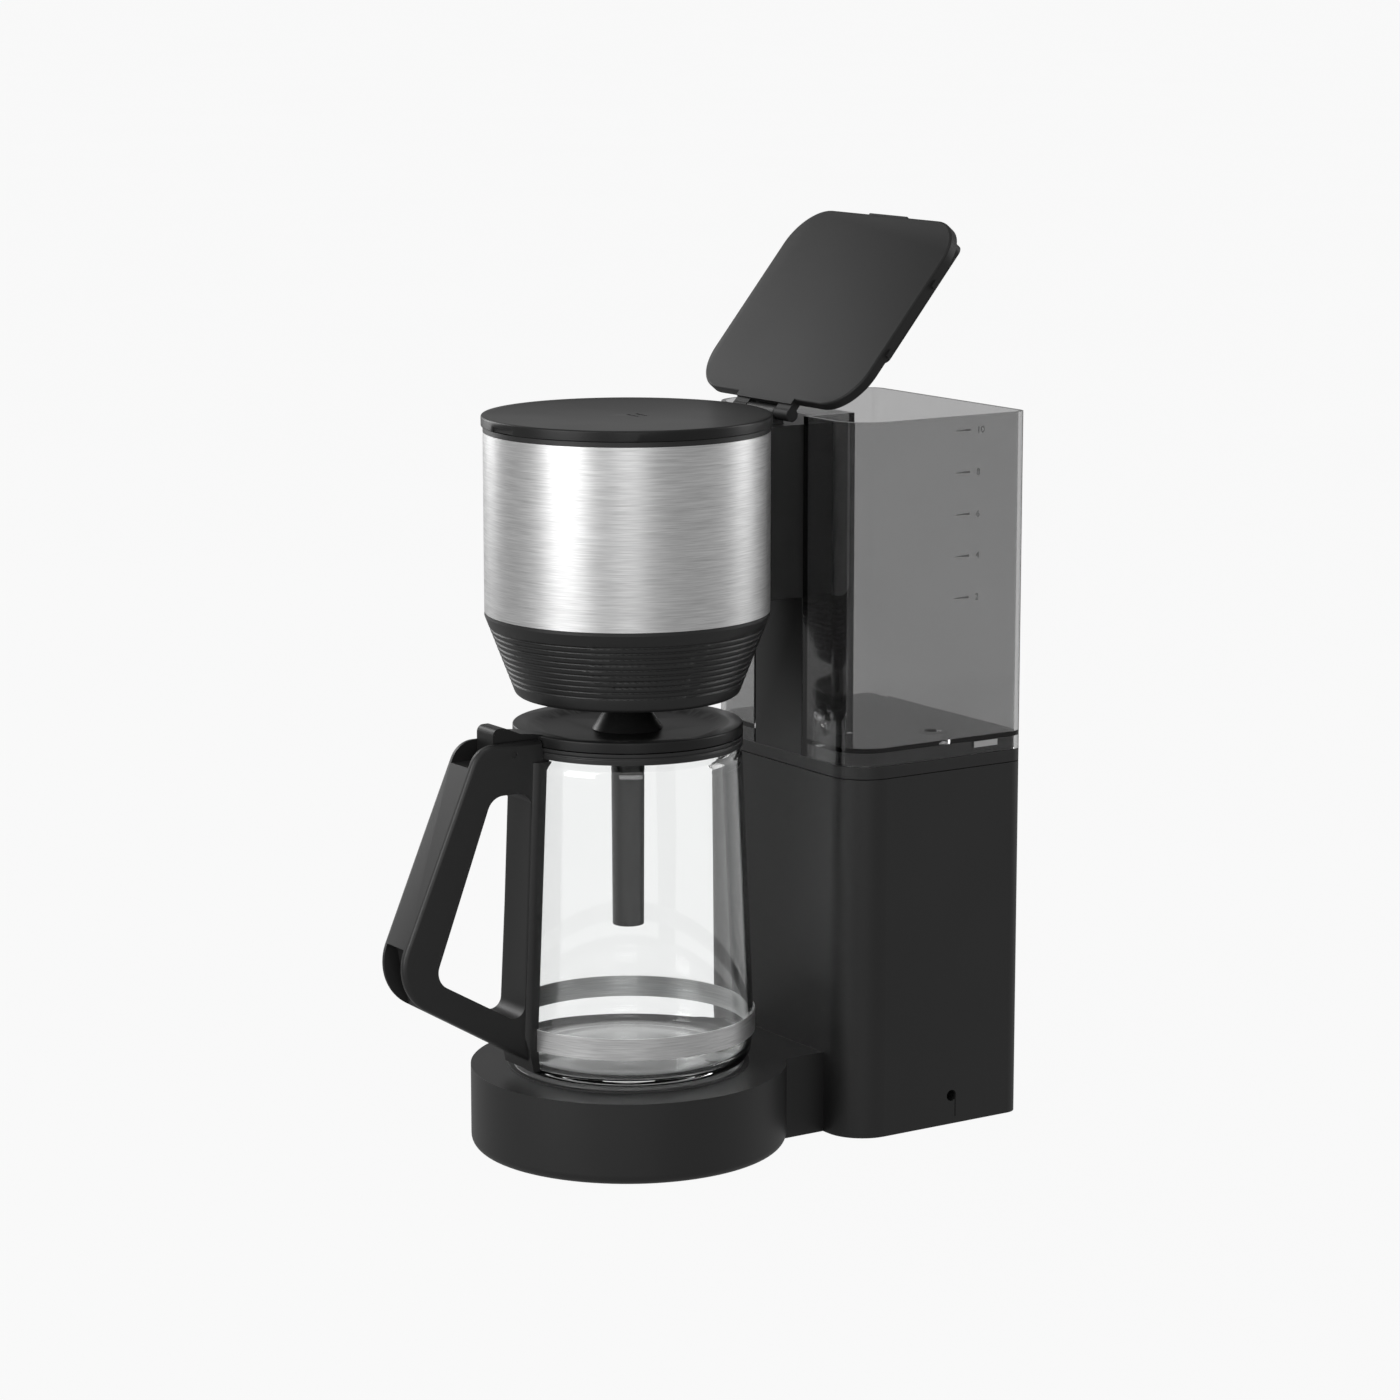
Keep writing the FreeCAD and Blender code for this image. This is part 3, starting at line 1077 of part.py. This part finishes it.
for thing in doc.Objects:
    faults = [state for state in thing.State if state in ("Invalid", "Error")]
    if faults:
        raise RuntimeError("%s (%s) did not recompute: %s" % (thing.Name, thing.Label, faults))
os.makedirs("parts", exist_ok=True)
for piece, y, z in nodes:
    shape = piece.Shape
    if shape.isNull() or not shape.isValid() or not shape.Solids:
        raise RuntimeError("%s has no sound solid" % piece.Label)
    shape.exportStep("parts/%s.step" % piece.Label)
print("%d sub-parts written" % len(nodes))
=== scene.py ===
import json
import math

import bmesh
import bpy
import numpy as np
from mathutils import Matrix, Vector


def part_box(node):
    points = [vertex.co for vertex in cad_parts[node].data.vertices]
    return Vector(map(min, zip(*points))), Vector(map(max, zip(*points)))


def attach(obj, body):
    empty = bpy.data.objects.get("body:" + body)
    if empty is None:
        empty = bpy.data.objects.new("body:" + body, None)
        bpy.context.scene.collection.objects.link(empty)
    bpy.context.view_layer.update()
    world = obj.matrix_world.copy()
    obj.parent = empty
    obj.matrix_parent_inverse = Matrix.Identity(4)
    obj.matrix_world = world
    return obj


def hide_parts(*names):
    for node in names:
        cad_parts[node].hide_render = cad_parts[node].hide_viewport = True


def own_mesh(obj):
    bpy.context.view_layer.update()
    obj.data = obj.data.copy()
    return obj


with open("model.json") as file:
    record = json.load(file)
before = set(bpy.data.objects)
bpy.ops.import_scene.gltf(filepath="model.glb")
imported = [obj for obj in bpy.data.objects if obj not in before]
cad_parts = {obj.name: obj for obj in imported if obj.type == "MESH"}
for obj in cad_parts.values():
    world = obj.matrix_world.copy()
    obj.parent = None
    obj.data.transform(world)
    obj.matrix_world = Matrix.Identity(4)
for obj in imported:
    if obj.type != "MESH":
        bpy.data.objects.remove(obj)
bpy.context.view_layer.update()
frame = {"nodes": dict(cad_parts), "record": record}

MM = 0.001


# ------------------------------------------------------------------ places from the frame

def span(node):
    """Lowest and highest corner of a CAD node as arrays."""
    low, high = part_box(node)
    return np.array(low), np.array(high)


tank_high = span("water_tank")[1]
glass_low, glass_high = span("jug_glass")
tube_low, tube_high = span("brew_tube")
brew_y = (tube_low[1] + tube_high[1]) / 2


# ------------------------------------------------------------------ meshes

def mesh_object(name, points, faces, sharp_angle=30):
    """A mesh from an array of points and an array of quads, smooth up to sharp_angle degrees."""
    mesh = bpy.data.meshes.new(name)
    points, faces = np.asarray(points, float), np.asarray(faces, np.int32)
    mesh.vertices.add(len(points))
    mesh.vertices.foreach_set("co", points.ravel())
    mesh.loops.add(faces.size)
    mesh.loops.foreach_set("vertex_index", faces.ravel())
    mesh.polygons.add(len(faces))
    mesh.polygons.foreach_set("loop_start", np.arange(len(faces), dtype=np.int32) * faces.shape[1])
    mesh.update(calc_edges=True)
    mesh.validate()
    soften(mesh, sharp_angle)
    thing = bpy.data.objects.new(name, mesh)
    bpy.context.scene.collection.objects.link(thing)
    return thing


def soften(mesh, sharp_angle):
    """Smooth shading, with edges sharper than sharp_angle degrees left crisp."""
    mesh.polygons.foreach_set("use_smooth", np.ones(len(mesh.polygons), bool))
    mesh.set_sharp_from_angle(angle=math.radians(sharp_angle))


def grid_faces(rows, columns, wrap_rows=False, wrap_columns=False):
    """Quads between neighbouring points of a grid stored row by row."""
    row_ends = rows if wrap_rows else rows - 1
    column_ends = columns if wrap_columns else columns - 1
    row, column = np.meshgrid(np.arange(row_ends), np.arange(column_ends), indexing="ij")
    next_row, next_column = (row + 1) % rows, (column + 1) % columns
    corners = [row * columns + column, next_row * columns + column,
               next_row * columns + next_column, row * columns + next_column]
    return np.stack([corner.ravel() for corner in corners], axis=1)


def arc(centre, radius, start, end, steps=8):
    """Points of an arc in the profile plane: centre + radius (cos t, sin t), t in degrees."""
    turn = np.radians(np.linspace(start, end, steps + 1))
    return np.stack([centre[0] + radius * np.cos(turn), centre[1] + radius * np.sin(turn)], axis=1)


def profile(*stretches):
    """One profile of radius and height from points and arcs, run one after another."""
    return np.vstack([np.atleast_2d(np.asarray(stretch, float)) for stretch in stretches])


def round_surface(outline, around=160, beak=None):
    """Points of an outline turned about the brew axis.

    Point (i, j) is (r cos a, brew_y + r sin a, z) for the i-th outline point (r, z) and the
    j-th angle a; beak(r, z, a) may give a new radius there."""
    turn = np.linspace(0, 2 * math.pi, around, endpoint=False)
    radius = np.repeat(outline[:, :1], around, axis=1)
    height = np.repeat(outline[:, 1:2], around, axis=1)
    angle = np.broadcast_to(turn, radius.shape)
    if beak:
        radius = beak(radius, height, angle)
    return np.stack([radius * np.cos(angle), brew_y + radius * np.sin(angle), height],
                    axis=2).reshape(-1, 3)


def outward(thing):
    """Turns the faces of a closed mesh outwards."""
    shape = bmesh.new()
    shape.from_mesh(thing.data)
    bmesh.ops.recalc_face_normals(shape, faces=shape.faces)
    if shape.calc_volume(signed=True) < 0:
        bmesh.ops.reverse_faces(shape, faces=shape.faces)
    shape.to_mesh(thing.data)
    shape.free()
    return thing


def finished(node, edge=0.4 * MM, sharp_angle=28):
    """A smooth copy of a CAD node with small rounds on its sharp edges, shown in its place."""
    thing = bpy.data.objects.new(node + "_finish", frame["nodes"][node].data.copy())
    bpy.context.scene.collection.objects.link(thing)
    shape = bmesh.new()
    shape.from_mesh(thing.data)
    bmesh.ops.remove_doubles(shape, verts=shape.verts, dist=2e-6)
    bmesh.ops.recalc_face_normals(shape, faces=shape.faces)
    bmesh.ops.dissolve_limit(shape, angle_limit=math.radians(0.4), verts=shape.verts,
                             edges=shape.edges, use_dissolve_boundaries=False)
    shape.to_mesh(thing.data)
    shape.free()
    soften(thing.data, sharp_angle)
    if edge:
        bevel = thing.modifiers.new("edge_rounds", "BEVEL")
        bevel.width, bevel.segments = edge, 2
        bevel.limit_method, bevel.angle_limit = "ANGLE", math.radians(sharp_angle + 4)
        bevel.harden_normals = True
        bevel.use_clamp_overlap = True
    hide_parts(node)
    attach(thing, BODY_OF[node])
    return thing


BODY_OF = {node: body for body, members in frame["record"]["behaviour"]["bodies"].items()
           for node in members}
SLOT_OF = {entry["node"]: entry["material_slot"] for entry in frame["record"]["subparts"]}


# ------------------------------------------------------------------ materials

class Wire:
    """A socket's value in a material, so that node maths reads as plain sums."""

    def __init__(self, make, socket):
        self.make, self.socket = make, socket

    def maths(self, operation, *values):
        return self.make("ShaderNodeMath", {"operation": operation}, *values)

    def __add__(self, other):
        return self.maths("ADD", self, other)

    def __sub__(self, other):
        return self.maths("SUBTRACT", self, other)

    def __mul__(self, other):
        return self.maths("MULTIPLY", self, other)

    def __rsub__(self, other):
        return self.maths("SUBTRACT", other, self)

    __radd__, __rmul__ = __add__, __mul__


class Finish:
    """A Principled material and the one method that adds any other node to it."""

    def __init__(self, name, **constants):
        self.material = bpy.data.materials.new(name)
        self.material.use_nodes = True
        self.tree = self.material.node_tree
        self.shader = self.tree.nodes["Principled BSDF"]
        for socket, value in constants.items():
            self.shader.inputs[socket.replace("_", " ")].default_value = value
        self.place = self.node("ShaderNodeTexCoord", output="Object")

    def node(self, kind, settings=None, *values, output=0, **named):
        made = self.tree.nodes.new(kind)
        for setting, value in (settings or {}).items():
            setattr(made, setting, value)
        for socket, value in list(enumerate(values)) + list(named.items()):
            self.feed(made.inputs[socket.replace("_", " ") if isinstance(socket, str) else socket],
                      value)
        return Wire(self.node, made.outputs[output])

    def feed(self, socket, value):
        if isinstance(value, Wire):
            self.tree.links.new(value.socket, socket)
        else:
            socket.default_value = value

    def drive(self, **sockets):
        for socket, value in sockets.items():
            self.feed(self.shader.inputs[socket.replace("_", " ")], value)

    def mapped(self, scale=(1, 1, 1), centre=(0, 0, 0)):
        shift = tuple(-c * s for c, s in zip(centre, scale))
        return self.node("ShaderNodeMapping", None, Vector=self.place, Location=shift, Scale=scale)

    def noise(self, scale, detail=2.0, stretch=(1, 1, 1)):
        return self.node("ShaderNodeTexNoise", None, Vector=self.mapped(stretch), Scale=scale,
                         Detail=detail)

    def mix(self, factor, first, second):
        """Colour between first and second."""
        made = self.tree.nodes.new("ShaderNodeMix")
        made.data_type = "RGBA"
        for socket, value in ((0, factor), (6, first), (7, second)):
            self.feed(made.inputs[socket], value)
        return Wire(self.node, made.outputs[2])

    def bump(self, height, strength, distance):
        return self.node("ShaderNodeBump", None, Height=height, Strength=strength,
                         Distance=distance)


def grey(level, tint=(1, 1, 1)):
    return tuple(level * part for part in tint) + (1.0,)


def moulded_plastic(name, level, roughness, grain=0.12, gloss=0.5):
    """Satin moulded plastic: a fine spark-eroded grain and faint wear in its gloss."""
    finish = Finish(name, IOR=1.47, Specular_IOR_Level=gloss)
    fine = finish.noise(2600, 3)
    broad = finish.noise(22, 2)
    finish.drive(Base_Color=finish.mix(broad, grey(level * 0.9), grey(level * 1.1)),
                 Roughness=roughness - 0.03 + 0.06 * broad,
                 Normal=finish.bump(fine, grain, 0.00006))
    return finish.material


def brushed_metal(name, level, roughness):
    """Sheet brushed round its axis: long fine streaks that lie level."""
    finish = Finish(name, Metallic=1.0, IOR=2.5)
    streaks = finish.noise(1.0, 2, (80, 80, 2600))
    broad = finish.noise(1.0, 2, (45, 45, 1200))
    mark = streaks * 0.6 + broad * 0.4
    finish.drive(Base_Color=finish.mix(mark, grey(level * 0.5), grey(level * 1.46)),
                 Roughness=roughness - 0.05 + 0.1 * mark,
                 Normal=finish.bump(streaks, 0.2, 0.00004))
    return finish.material


def plain_metal(name, level, roughness):
    """Rolled or cast metal with a soft mottle."""
    finish = Finish(name, Metallic=1.0)
    mottle = finish.noise(160, 3)
    finish.drive(Base_Color=finish.mix(mottle, grey(level * 0.85), grey(level * 1.1)),
                 Roughness=roughness - 0.05 + 0.1 * mottle,
                 Normal=finish.bump(mottle, 0.1, 0.0001))
    return finish.material


def coated_plate(name, level, roughness):
    """Coated hotplate with fine turned rings about the brew axis."""
    finish = Finish(name, IOR=1.6)
    centred = finish.mapped((1, 1, 0), (0, brew_y, 0))
    radius = finish.node("ShaderNodeVectorMath", {"operation": "LENGTH"}, centred, output=1)
    rings = radius.maths("SINE", radius * 2400.0)
    speckle = finish.noise(1500, 2)
    finish.drive(Base_Color=finish.mix(speckle, grey(level * 0.85), grey(level * 1.2)),
                 Roughness=roughness + 0.08 * speckle,
                 Normal=finish.bump(rings + speckle * 0.5, 0.12, 0.00008))
    return finish.material


def clear_glass(name):
    """Clear blown glass with the faintest waviness."""
    finish = Finish(name, IOR=1.46, Transmission_Weight=1.0, Coat_Weight=0.0)
    wave = finish.noise(30, 1)
    finish.drive(Base_Color=finish.mix(wave, (0.965, 0.972, 0.97, 1), (0.985, 0.99, 0.988, 1)),
                 Roughness=0.004 * wave,
                 Normal=finish.bump(wave, 0.05, 0.0002))
    return finish.material


def smoky_plastic(name, level, clarity=1.0):
    """Tinted see-through moulding with a polished face and the faintest flow marks."""
    finish = Finish(name, IOR=1.49, Transmission_Weight=clarity)
    haze = finish.noise(14, 2)
    finish.drive(Base_Color=finish.mix(haze, grey(level * 0.96), grey(level * 1.04)),
                 Roughness=0.012 + 0.012 * haze, Normal=finish.bump(haze, 0.03, 0.0002))
    return finish.material


def soft_rubber(name, level, roughness, tint=(1, 1, 1)):
    """Matt rubber or silicone with a dusty mottle."""
    finish = Finish(name, IOR=1.45)
    dust = finish.noise(420, 3)
    finish.drive(Base_Color=finish.mix(dust, grey(level * 0.85, tint), grey(level * 1.15, tint)),
                 Roughness=roughness + 0.06 * dust, Normal=finish.bump(dust, 0.15, 0.0001))
    return finish.material


BLACK = moulded_plastic("black_satin_plastic", 0.0135, 0.42, 0.12, 0.45)
BLACK_SMOOTH = moulded_plastic("black_smooth_plastic", 0.010, 0.36, 0.05, 0.28)
BLACK_PLATE = moulded_plastic("black_lid_plastic", 0.010, 0.5, 0.12, 0.28)
WHITE = moulded_plastic("white_moulding", 0.72, 0.45)
STEEL = brushed_metal("brushed_sleeve_steel", 0.70, 0.36)
PLATED = plain_metal("plated_steel", 0.55, 0.32)
CAST = plain_metal("cast_aluminium", 0.6, 0.5)
PLATE = coated_plate("coated_hotplate", 0.05, 0.34)
GLASS = clear_glass("jug_glass_clear")
SMOKE = smoky_plastic("smoky_tank", 0.44)
CLEAR = smoky_plastic("clear_clip", 0.9, 0.6)
RUBBER = soft_rubber("black_rubber", 0.02, 0.7)
SILICONE = soft_rubber("milky_silicone", 0.6, 0.5, (1.0, 0.99, 0.96))
MARKING = soft_rubber("mark_ink", 0.10, 0.55)

SLOT_LOOKS = {"black_plastic": BLACK, "smoky_plastic": SMOKE, "brushed_steel": STEEL,
              "dark_coated_steel": PLATE, "clear_glass": GLASS, "rubber": RUBBER,
              "silicone": SILICONE, "aluminium": CAST, "plated_steel": PLATED,
              "white_plastic": WHITE}
NODE_LOOKS = {"tank_clips": CLEAR, "cord_clamp": BLACK, "hinge_pin": BLACK,
              "jug_hinge_pin": BLACK, "tank_lid": BLACK_PLATE, "basket_lid": BLACK_SMOOTH,
              "jug_lid": BLACK_SMOOTH, "brew_tube": BLACK_SMOOTH}


def dress(thing, material):
    thing.data.materials.clear()
    thing.data.materials.append(material)
    thing.data.polygons.foreach_set("material_index",
                                    np.zeros(len(thing.data.polygons), np.int32))
    return thing


for node, cad in frame["nodes"].items():
    look = NODE_LOOKS.get(node, SLOT_LOOKS[SLOT_OF[node]])
    for place in cad.material_slots:
        place.material = look
    if not cad.material_slots:
        cad.data.materials.append(look)


# ------------------------------------------------------------------ finished CAD pieces

EDGES = {"base_housing": 0.35, "deck_cover": 0.35, "column": 0.4, "column_cover": 0.3,
         "basket_body": 0.08, "basket_lid": 0.35, "tank_lid": 0.5, "power_button": 0.5,
         "button_ring": 0.3, "jug_handle": 0.6, "jug_lid": 0.35, "jug_collar": 0.25,
         "jug_band": 0.08, "basket_sleeve": 0, "brew_tube": 0.3, "hotplate": 0.3,
         "hotplate_seal": 0.2, "bottom_plate": 0.3, "feet": 0.5, "filter_insert": 0.3,
         "spray_head": 0.3}
for node, edge in EDGES.items():
    dress(finished(node, edge * MM), NODE_LOOKS.get(node, SLOT_LOOKS[SLOT_OF[node]]))


# The real spring's foot rises with the drip stop while its top stays against the insert. Here the
# spring only gets a finished copy with its own mesh, and the squeeze of the drip stop's full rise
# is worked out but not applied.
spring = dress(finished("drip_spring", 0), PLATED)
spring_low, spring_high = span("drip_spring")
stop_joint = next(joint for joint in frame["record"]["behaviour"]["joints"]
                  if joint["name"] == "drip_stop_rise")
squeezed = 1 - stop_joint["range_m"][1] / (spring_high[2] - spring_low[2])
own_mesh(spring)


# ------------------------------------------------------------------ jug glass

WALL = 2.4 * MM
seat, rim = glass_low[2], glass_high[2]
belly = max(abs(glass_low[0]), abs(glass_high[0]))
NECK_RADIUS = belly - 9.4 * MM
FOOT_RADIUS = belly - 1.2 * MM
FOOT_ROUND = 8 * MM
belly_z = seat + 20 * MM
shoulder_z, neck_z = rim - 9.6 * MM, rim - 4.6 * MM
SHOULDER_RADIUS = belly - 5.9 * MM


def eased(points, steps):
    """A smooth line through points: a cosine ease from each to the next in radius."""
    stretches = []
    for (r0, z0), (r1, z1) in zip(points, points[1:]):
        t = np.linspace(0, 1, steps, endpoint=False)
        stretches.append(np.stack([r0 + (r1 - r0) * (1 - np.cos(math.pi * t)) / 2,
                                   z0 + (z1 - z0) * t], axis=1))
    return np.vstack(stretches + [np.array([points[-1]])])


def beak(radius, height, angle):
    """Adds the pouring beak: a bump toward +Y that grows as the square of the height."""
    rise = np.clip((height - (rim - 22 * MM)) / (22 * MM), 0, 1)
    off_centre = np.arctan2(np.sin(angle - math.pi / 2), np.cos(angle - math.pi / 2))
    lobe = np.exp(-(off_centre / math.radians(11)) ** 2)
    return radius + 14.4 * MM * rise ** 2.2 * lobe


outside = profile(
    (0.4 * MM, seat + 1.6 * MM), (30 * MM, seat + 1.2 * MM), (44 * MM, seat + 0.4 * MM),
    (FOOT_RADIUS - FOOT_ROUND - 2 * MM, seat),
    arc((FOOT_RADIUS - FOOT_ROUND, seat + FOOT_ROUND), FOOT_ROUND, -90, 0, 12),
    np.stack([np.linspace(FOOT_RADIUS, belly, 5)[1:], np.linspace(seat + 9 * MM, belly_z, 5)[1:]],
             axis=1),
    np.stack([np.linspace(belly, SHOULDER_RADIUS, 50)[1:],
              np.linspace(belly_z, shoulder_z, 50)[1:]], axis=1),
    eased([(SHOULDER_RADIUS, shoulder_z), (NECK_RADIUS, neck_z)], 6)[1:],
    (NECK_RADIUS, rim - 0.8 * MM))
inside = profile(
    (NECK_RADIUS - WALL, rim - 0.8 * MM),
    eased([(NECK_RADIUS - WALL, neck_z - 0.6 * MM),
           (SHOULDER_RADIUS - WALL, shoulder_z - 0.6 * MM)], 6),
    np.stack([np.linspace(SHOULDER_RADIUS - WALL, belly - WALL, 50)[1:],
              np.linspace(shoulder_z, belly_z, 50)[1:]], axis=1),
    arc((FOOT_RADIUS - FOOT_ROUND - 0.4 * MM, seat + FOOT_ROUND + 2.4 * MM), FOOT_ROUND - 2 * MM,
        0, -90, 10),
    (44 * MM, seat + 4.2 * MM), (38 * MM, seat + 5.2 * MM), (0.4 * MM, seat + 5.6 * MM))
lip = arc((NECK_RADIUS - WALL / 2, rim - 0.8 * MM), WALL / 2, 0, 180, 6)[1:-1]
lip[:, 1] = rim - 0.8 * MM + (lip[:, 1] - (rim - 0.8 * MM)) * (0.8 / 1.2)


def capped_turn(name, outline, around, beak=None):
    """A solid of revolution whose outline starts and ends near the axis and is closed there."""
    points = round_surface(outline, around, beak)
    faces = [tuple(face) for face in grid_faces(len(outline), around, wrap_columns=True)]
    last = (len(outline) - 1) * around
    foot, top = len(points), len(points) + 1
    points = np.vstack([points, [[0, brew_y, outline[0, 1]], [0, brew_y, outline[-1, 1]]]])
    step = np.arange(around)
    following = (step + 1) % around
    caps = np.concatenate([np.stack([np.full(around, foot), step, following], axis=1),
                           np.stack([np.full(around, top), last + following, last + step],
                                    axis=1)])
    mesh = bpy.data.meshes.new(name)
    mesh.from_pydata(points.tolist(), [], faces + caps.tolist())
    soften(mesh, 35)
    thing = bpy.data.objects.new(name, mesh)
    bpy.context.scene.collection.objects.link(thing)
    return outward(thing)


glass = capped_turn("jug_glass_body", profile(outside, lip, inside), 288, beak)
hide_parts("jug_glass")
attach(glass, "jug")
dress(glass, GLASS)


# ------------------------------------------------------------------ water marks on the tank

MARK_FACE = tank_high[0] + 0.05 * MM
MARK_TOP = tank_high[2] - 7 * MM
MARK_PITCH = 20.9 * MM
DASH_BACK = tank_high[1] - 37 * MM
DASH_FRONT = DASH_BACK - 10 * MM
DASH_HALF = 0.6 * MM
MARK_THICK = 0.06 * MM
NUMERAL_SIZE = 4.8 * MM
NUMERAL_GAP = 4 * MM
NUMERAL_DROP = 1.8 * MM


def water_marks():
    """Five wedge-shaped dashes with a numeral behind each, as one thin mesh."""
    parts = []
    for step, number in enumerate((10, 8, 6, 4, 2)):
        level = MARK_TOP - step * MARK_PITCH
        wedge = np.array([(DASH_FRONT, level), (DASH_BACK, level - DASH_HALF),
                          (DASH_BACK, level + DASH_HALF)])
        front = np.column_stack([np.full(3, MARK_FACE + MARK_THICK), wedge])
        back = np.column_stack([np.full(3, MARK_FACE), wedge])
        parts.append((np.vstack([front, back]).tolist(),
                      [(0, 1, 2), (5, 4, 3), (0, 3, 4, 1), (1, 4, 5, 2), (2, 5, 3, 0)]))
        text = bpy.data.curves.new("numeral", "FONT")
        text.body, text.size, text.extrude = str(number), NUMERAL_SIZE, MARK_THICK / 2
        text.resolution_u = 3
        holder = bpy.data.objects.new("numeral", text)
        bpy.context.scene.collection.objects.link(holder)
        bpy.context.view_layer.update()
        flat = bpy.data.meshes.new_from_object(holder)
        points = np.empty(len(flat.vertices) * 3)
        flat.vertices.foreach_get("co", points)
        points = points.reshape(-1, 3)
        placed = np.column_stack([MARK_FACE + MARK_THICK / 2 + points[:, 2],
                                  DASH_BACK + NUMERAL_GAP + points[:, 0],
                                  level - NUMERAL_DROP + points[:, 1]])
        parts.append((placed.tolist(), [tuple(face.vertices) for face in flat.polygons]))
        bpy.data.objects.remove(holder)
        bpy.data.meshes.remove(flat)
    vertices, faces = [], []
    for part_points, part_faces in parts:
        start = len(vertices)
        vertices += part_points
        faces += [tuple(start + index for index in face) for face in part_faces]
    mesh = bpy.data.meshes.new("water_marks")
    mesh.from_pydata(vertices, [], faces)
    marks = bpy.data.objects.new("water_marks", mesh)
    bpy.context.scene.collection.objects.link(marks)
    return marks


marks = dress(water_marks(), MARKING)
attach(marks, "machine")


# ------------------------------------------------------------------ stage, light and camera

STAGE_SHADE, STAGE_DIM = 0.942, 0.36


def seen_directly(tree):
    """One where a ray comes from the camera or through clear material, nought elsewhere."""
    path, either = tree.nodes.new("ShaderNodeLightPath"), tree.nodes.new("ShaderNodeMath")
    either.operation = "MAXIMUM"
    for socket, ray in zip(either.inputs, ("Is Camera Ray", "Is Transmission Ray")):
        tree.links.new(path.outputs[ray], socket)
    return either.outputs[0]


def stage_material(name):
    """Even pale sheet that glows for the eye and stays dim for what it lights."""
    finish = Finish(name, Roughness=0.9, Specular_IOR_Level=0.0, Emission_Strength=1.0)
    mottle = finish.noise(2.0, 1)
    pale = finish.mix(mottle, grey(STAGE_SHADE * 0.997), grey(STAGE_SHADE * 1.003))
    direct = Wire(finish.node, seen_directly(finish.tree))
    glow = finish.mix(direct, grey(STAGE_DIM), pale)
    finish.drive(Base_Color=grey(0.005), Emission_Color=glow)
    return finish.material


FLOOR_HALF = 60.0
floor = mesh_object("floor", [(-FLOOR_HALF, -FLOOR_HALF, 0), (FLOOR_HALF, -FLOOR_HALF, 0),
                              (FLOOR_HALF, FLOOR_HALF, 0), (-FLOOR_HALF, FLOOR_HALF, 0)],
                    [(0, 1, 2, 3)])
floor.data.transform(Matrix.Translation((0, 0, -0.0002)))
dress(floor, stage_material("pale_floor"))


def softbox(name, azimuth, elevation, distance, size, power):
    """A square lamp at an azimuth and elevation in degrees about the middle of the object."""
    lamp = bpy.data.lights.new(name, "AREA")
    lamp.shape, lamp.size, lamp.size_y, lamp.energy = "RECTANGLE", size[0], size[1], power
    holder = bpy.data.objects.new(name, lamp)
    bpy.context.scene.collection.objects.link(holder)
    turn, lift = math.radians(azimuth), math.radians(elevation)
    away = Vector((math.sin(turn) * math.cos(lift), -math.cos(turn) * math.cos(lift),
                   math.sin(lift)))
    holder.location = MIDDLE + away * distance
    holder.rotation_euler = away.to_track_quat("Z", "Y").to_euler()
    return holder


MIDDLE = Vector((0, 0, 0.22))
# Name, azimuth and elevation in degrees, distance, width and height, power in watts.
LAMPS = [("key", 8, 18, 2.2, (1.3, 1.6), 31),
         ("front", 60, 12, 3.2, (1.3, 1.4), 15),
         ("side", -78, 16, 2.4, (0.9, 1.6), 20),
         ("top", 60, 80, 2.2, (1.6, 1.6), 8),
         ("rim", 162, 16, 2.6, (0.9, 1.6), 20)]
for lamp in LAMPS:
    softbox(*lamp)

world = bpy.data.worlds.new("studio")
bpy.context.scene.world = world
world.use_nodes = True
sky = world.node_tree.nodes["Background"]
sky.inputs["Color"].default_value = grey(1.0)
shine = world.node_tree.nodes.new("ShaderNodeMapRange")
shine.inputs["To Min"].default_value = STAGE_DIM
shine.inputs["To Max"].default_value = STAGE_SHADE
world.node_tree.links.new(seen_directly(world.node_tree), shine.inputs["Value"])
world.node_tree.links.new(shine.outputs["Result"], sky.inputs["Strength"])

AIM = Vector((-0.0082, 0.0172, 0.2187))
CAMERA_AZIMUTH, CAMERA_ELEVATION, CAMERA_DISTANCE = 56.54, 10.63, 2.0799
camera_data = bpy.data.cameras.new("camera")
camera_data.lens, camera_data.sensor_width = 107.02, 36
camera = bpy.data.objects.new("camera", camera_data)
bpy.context.scene.collection.objects.link(camera)
turn, lift = math.radians(CAMERA_AZIMUTH), math.radians(CAMERA_ELEVATION)
outwards = Vector((math.sin(turn) * math.cos(lift), -math.cos(turn) * math.cos(lift),
                   math.sin(lift)))
camera.location = AIM + outwards * CAMERA_DISTANCE
camera.rotation_euler = outwards.to_track_quat("Z", "Y").to_euler()
bpy.context.scene.camera = camera
bpy.context.scene.view_settings.view_transform = "Standard"
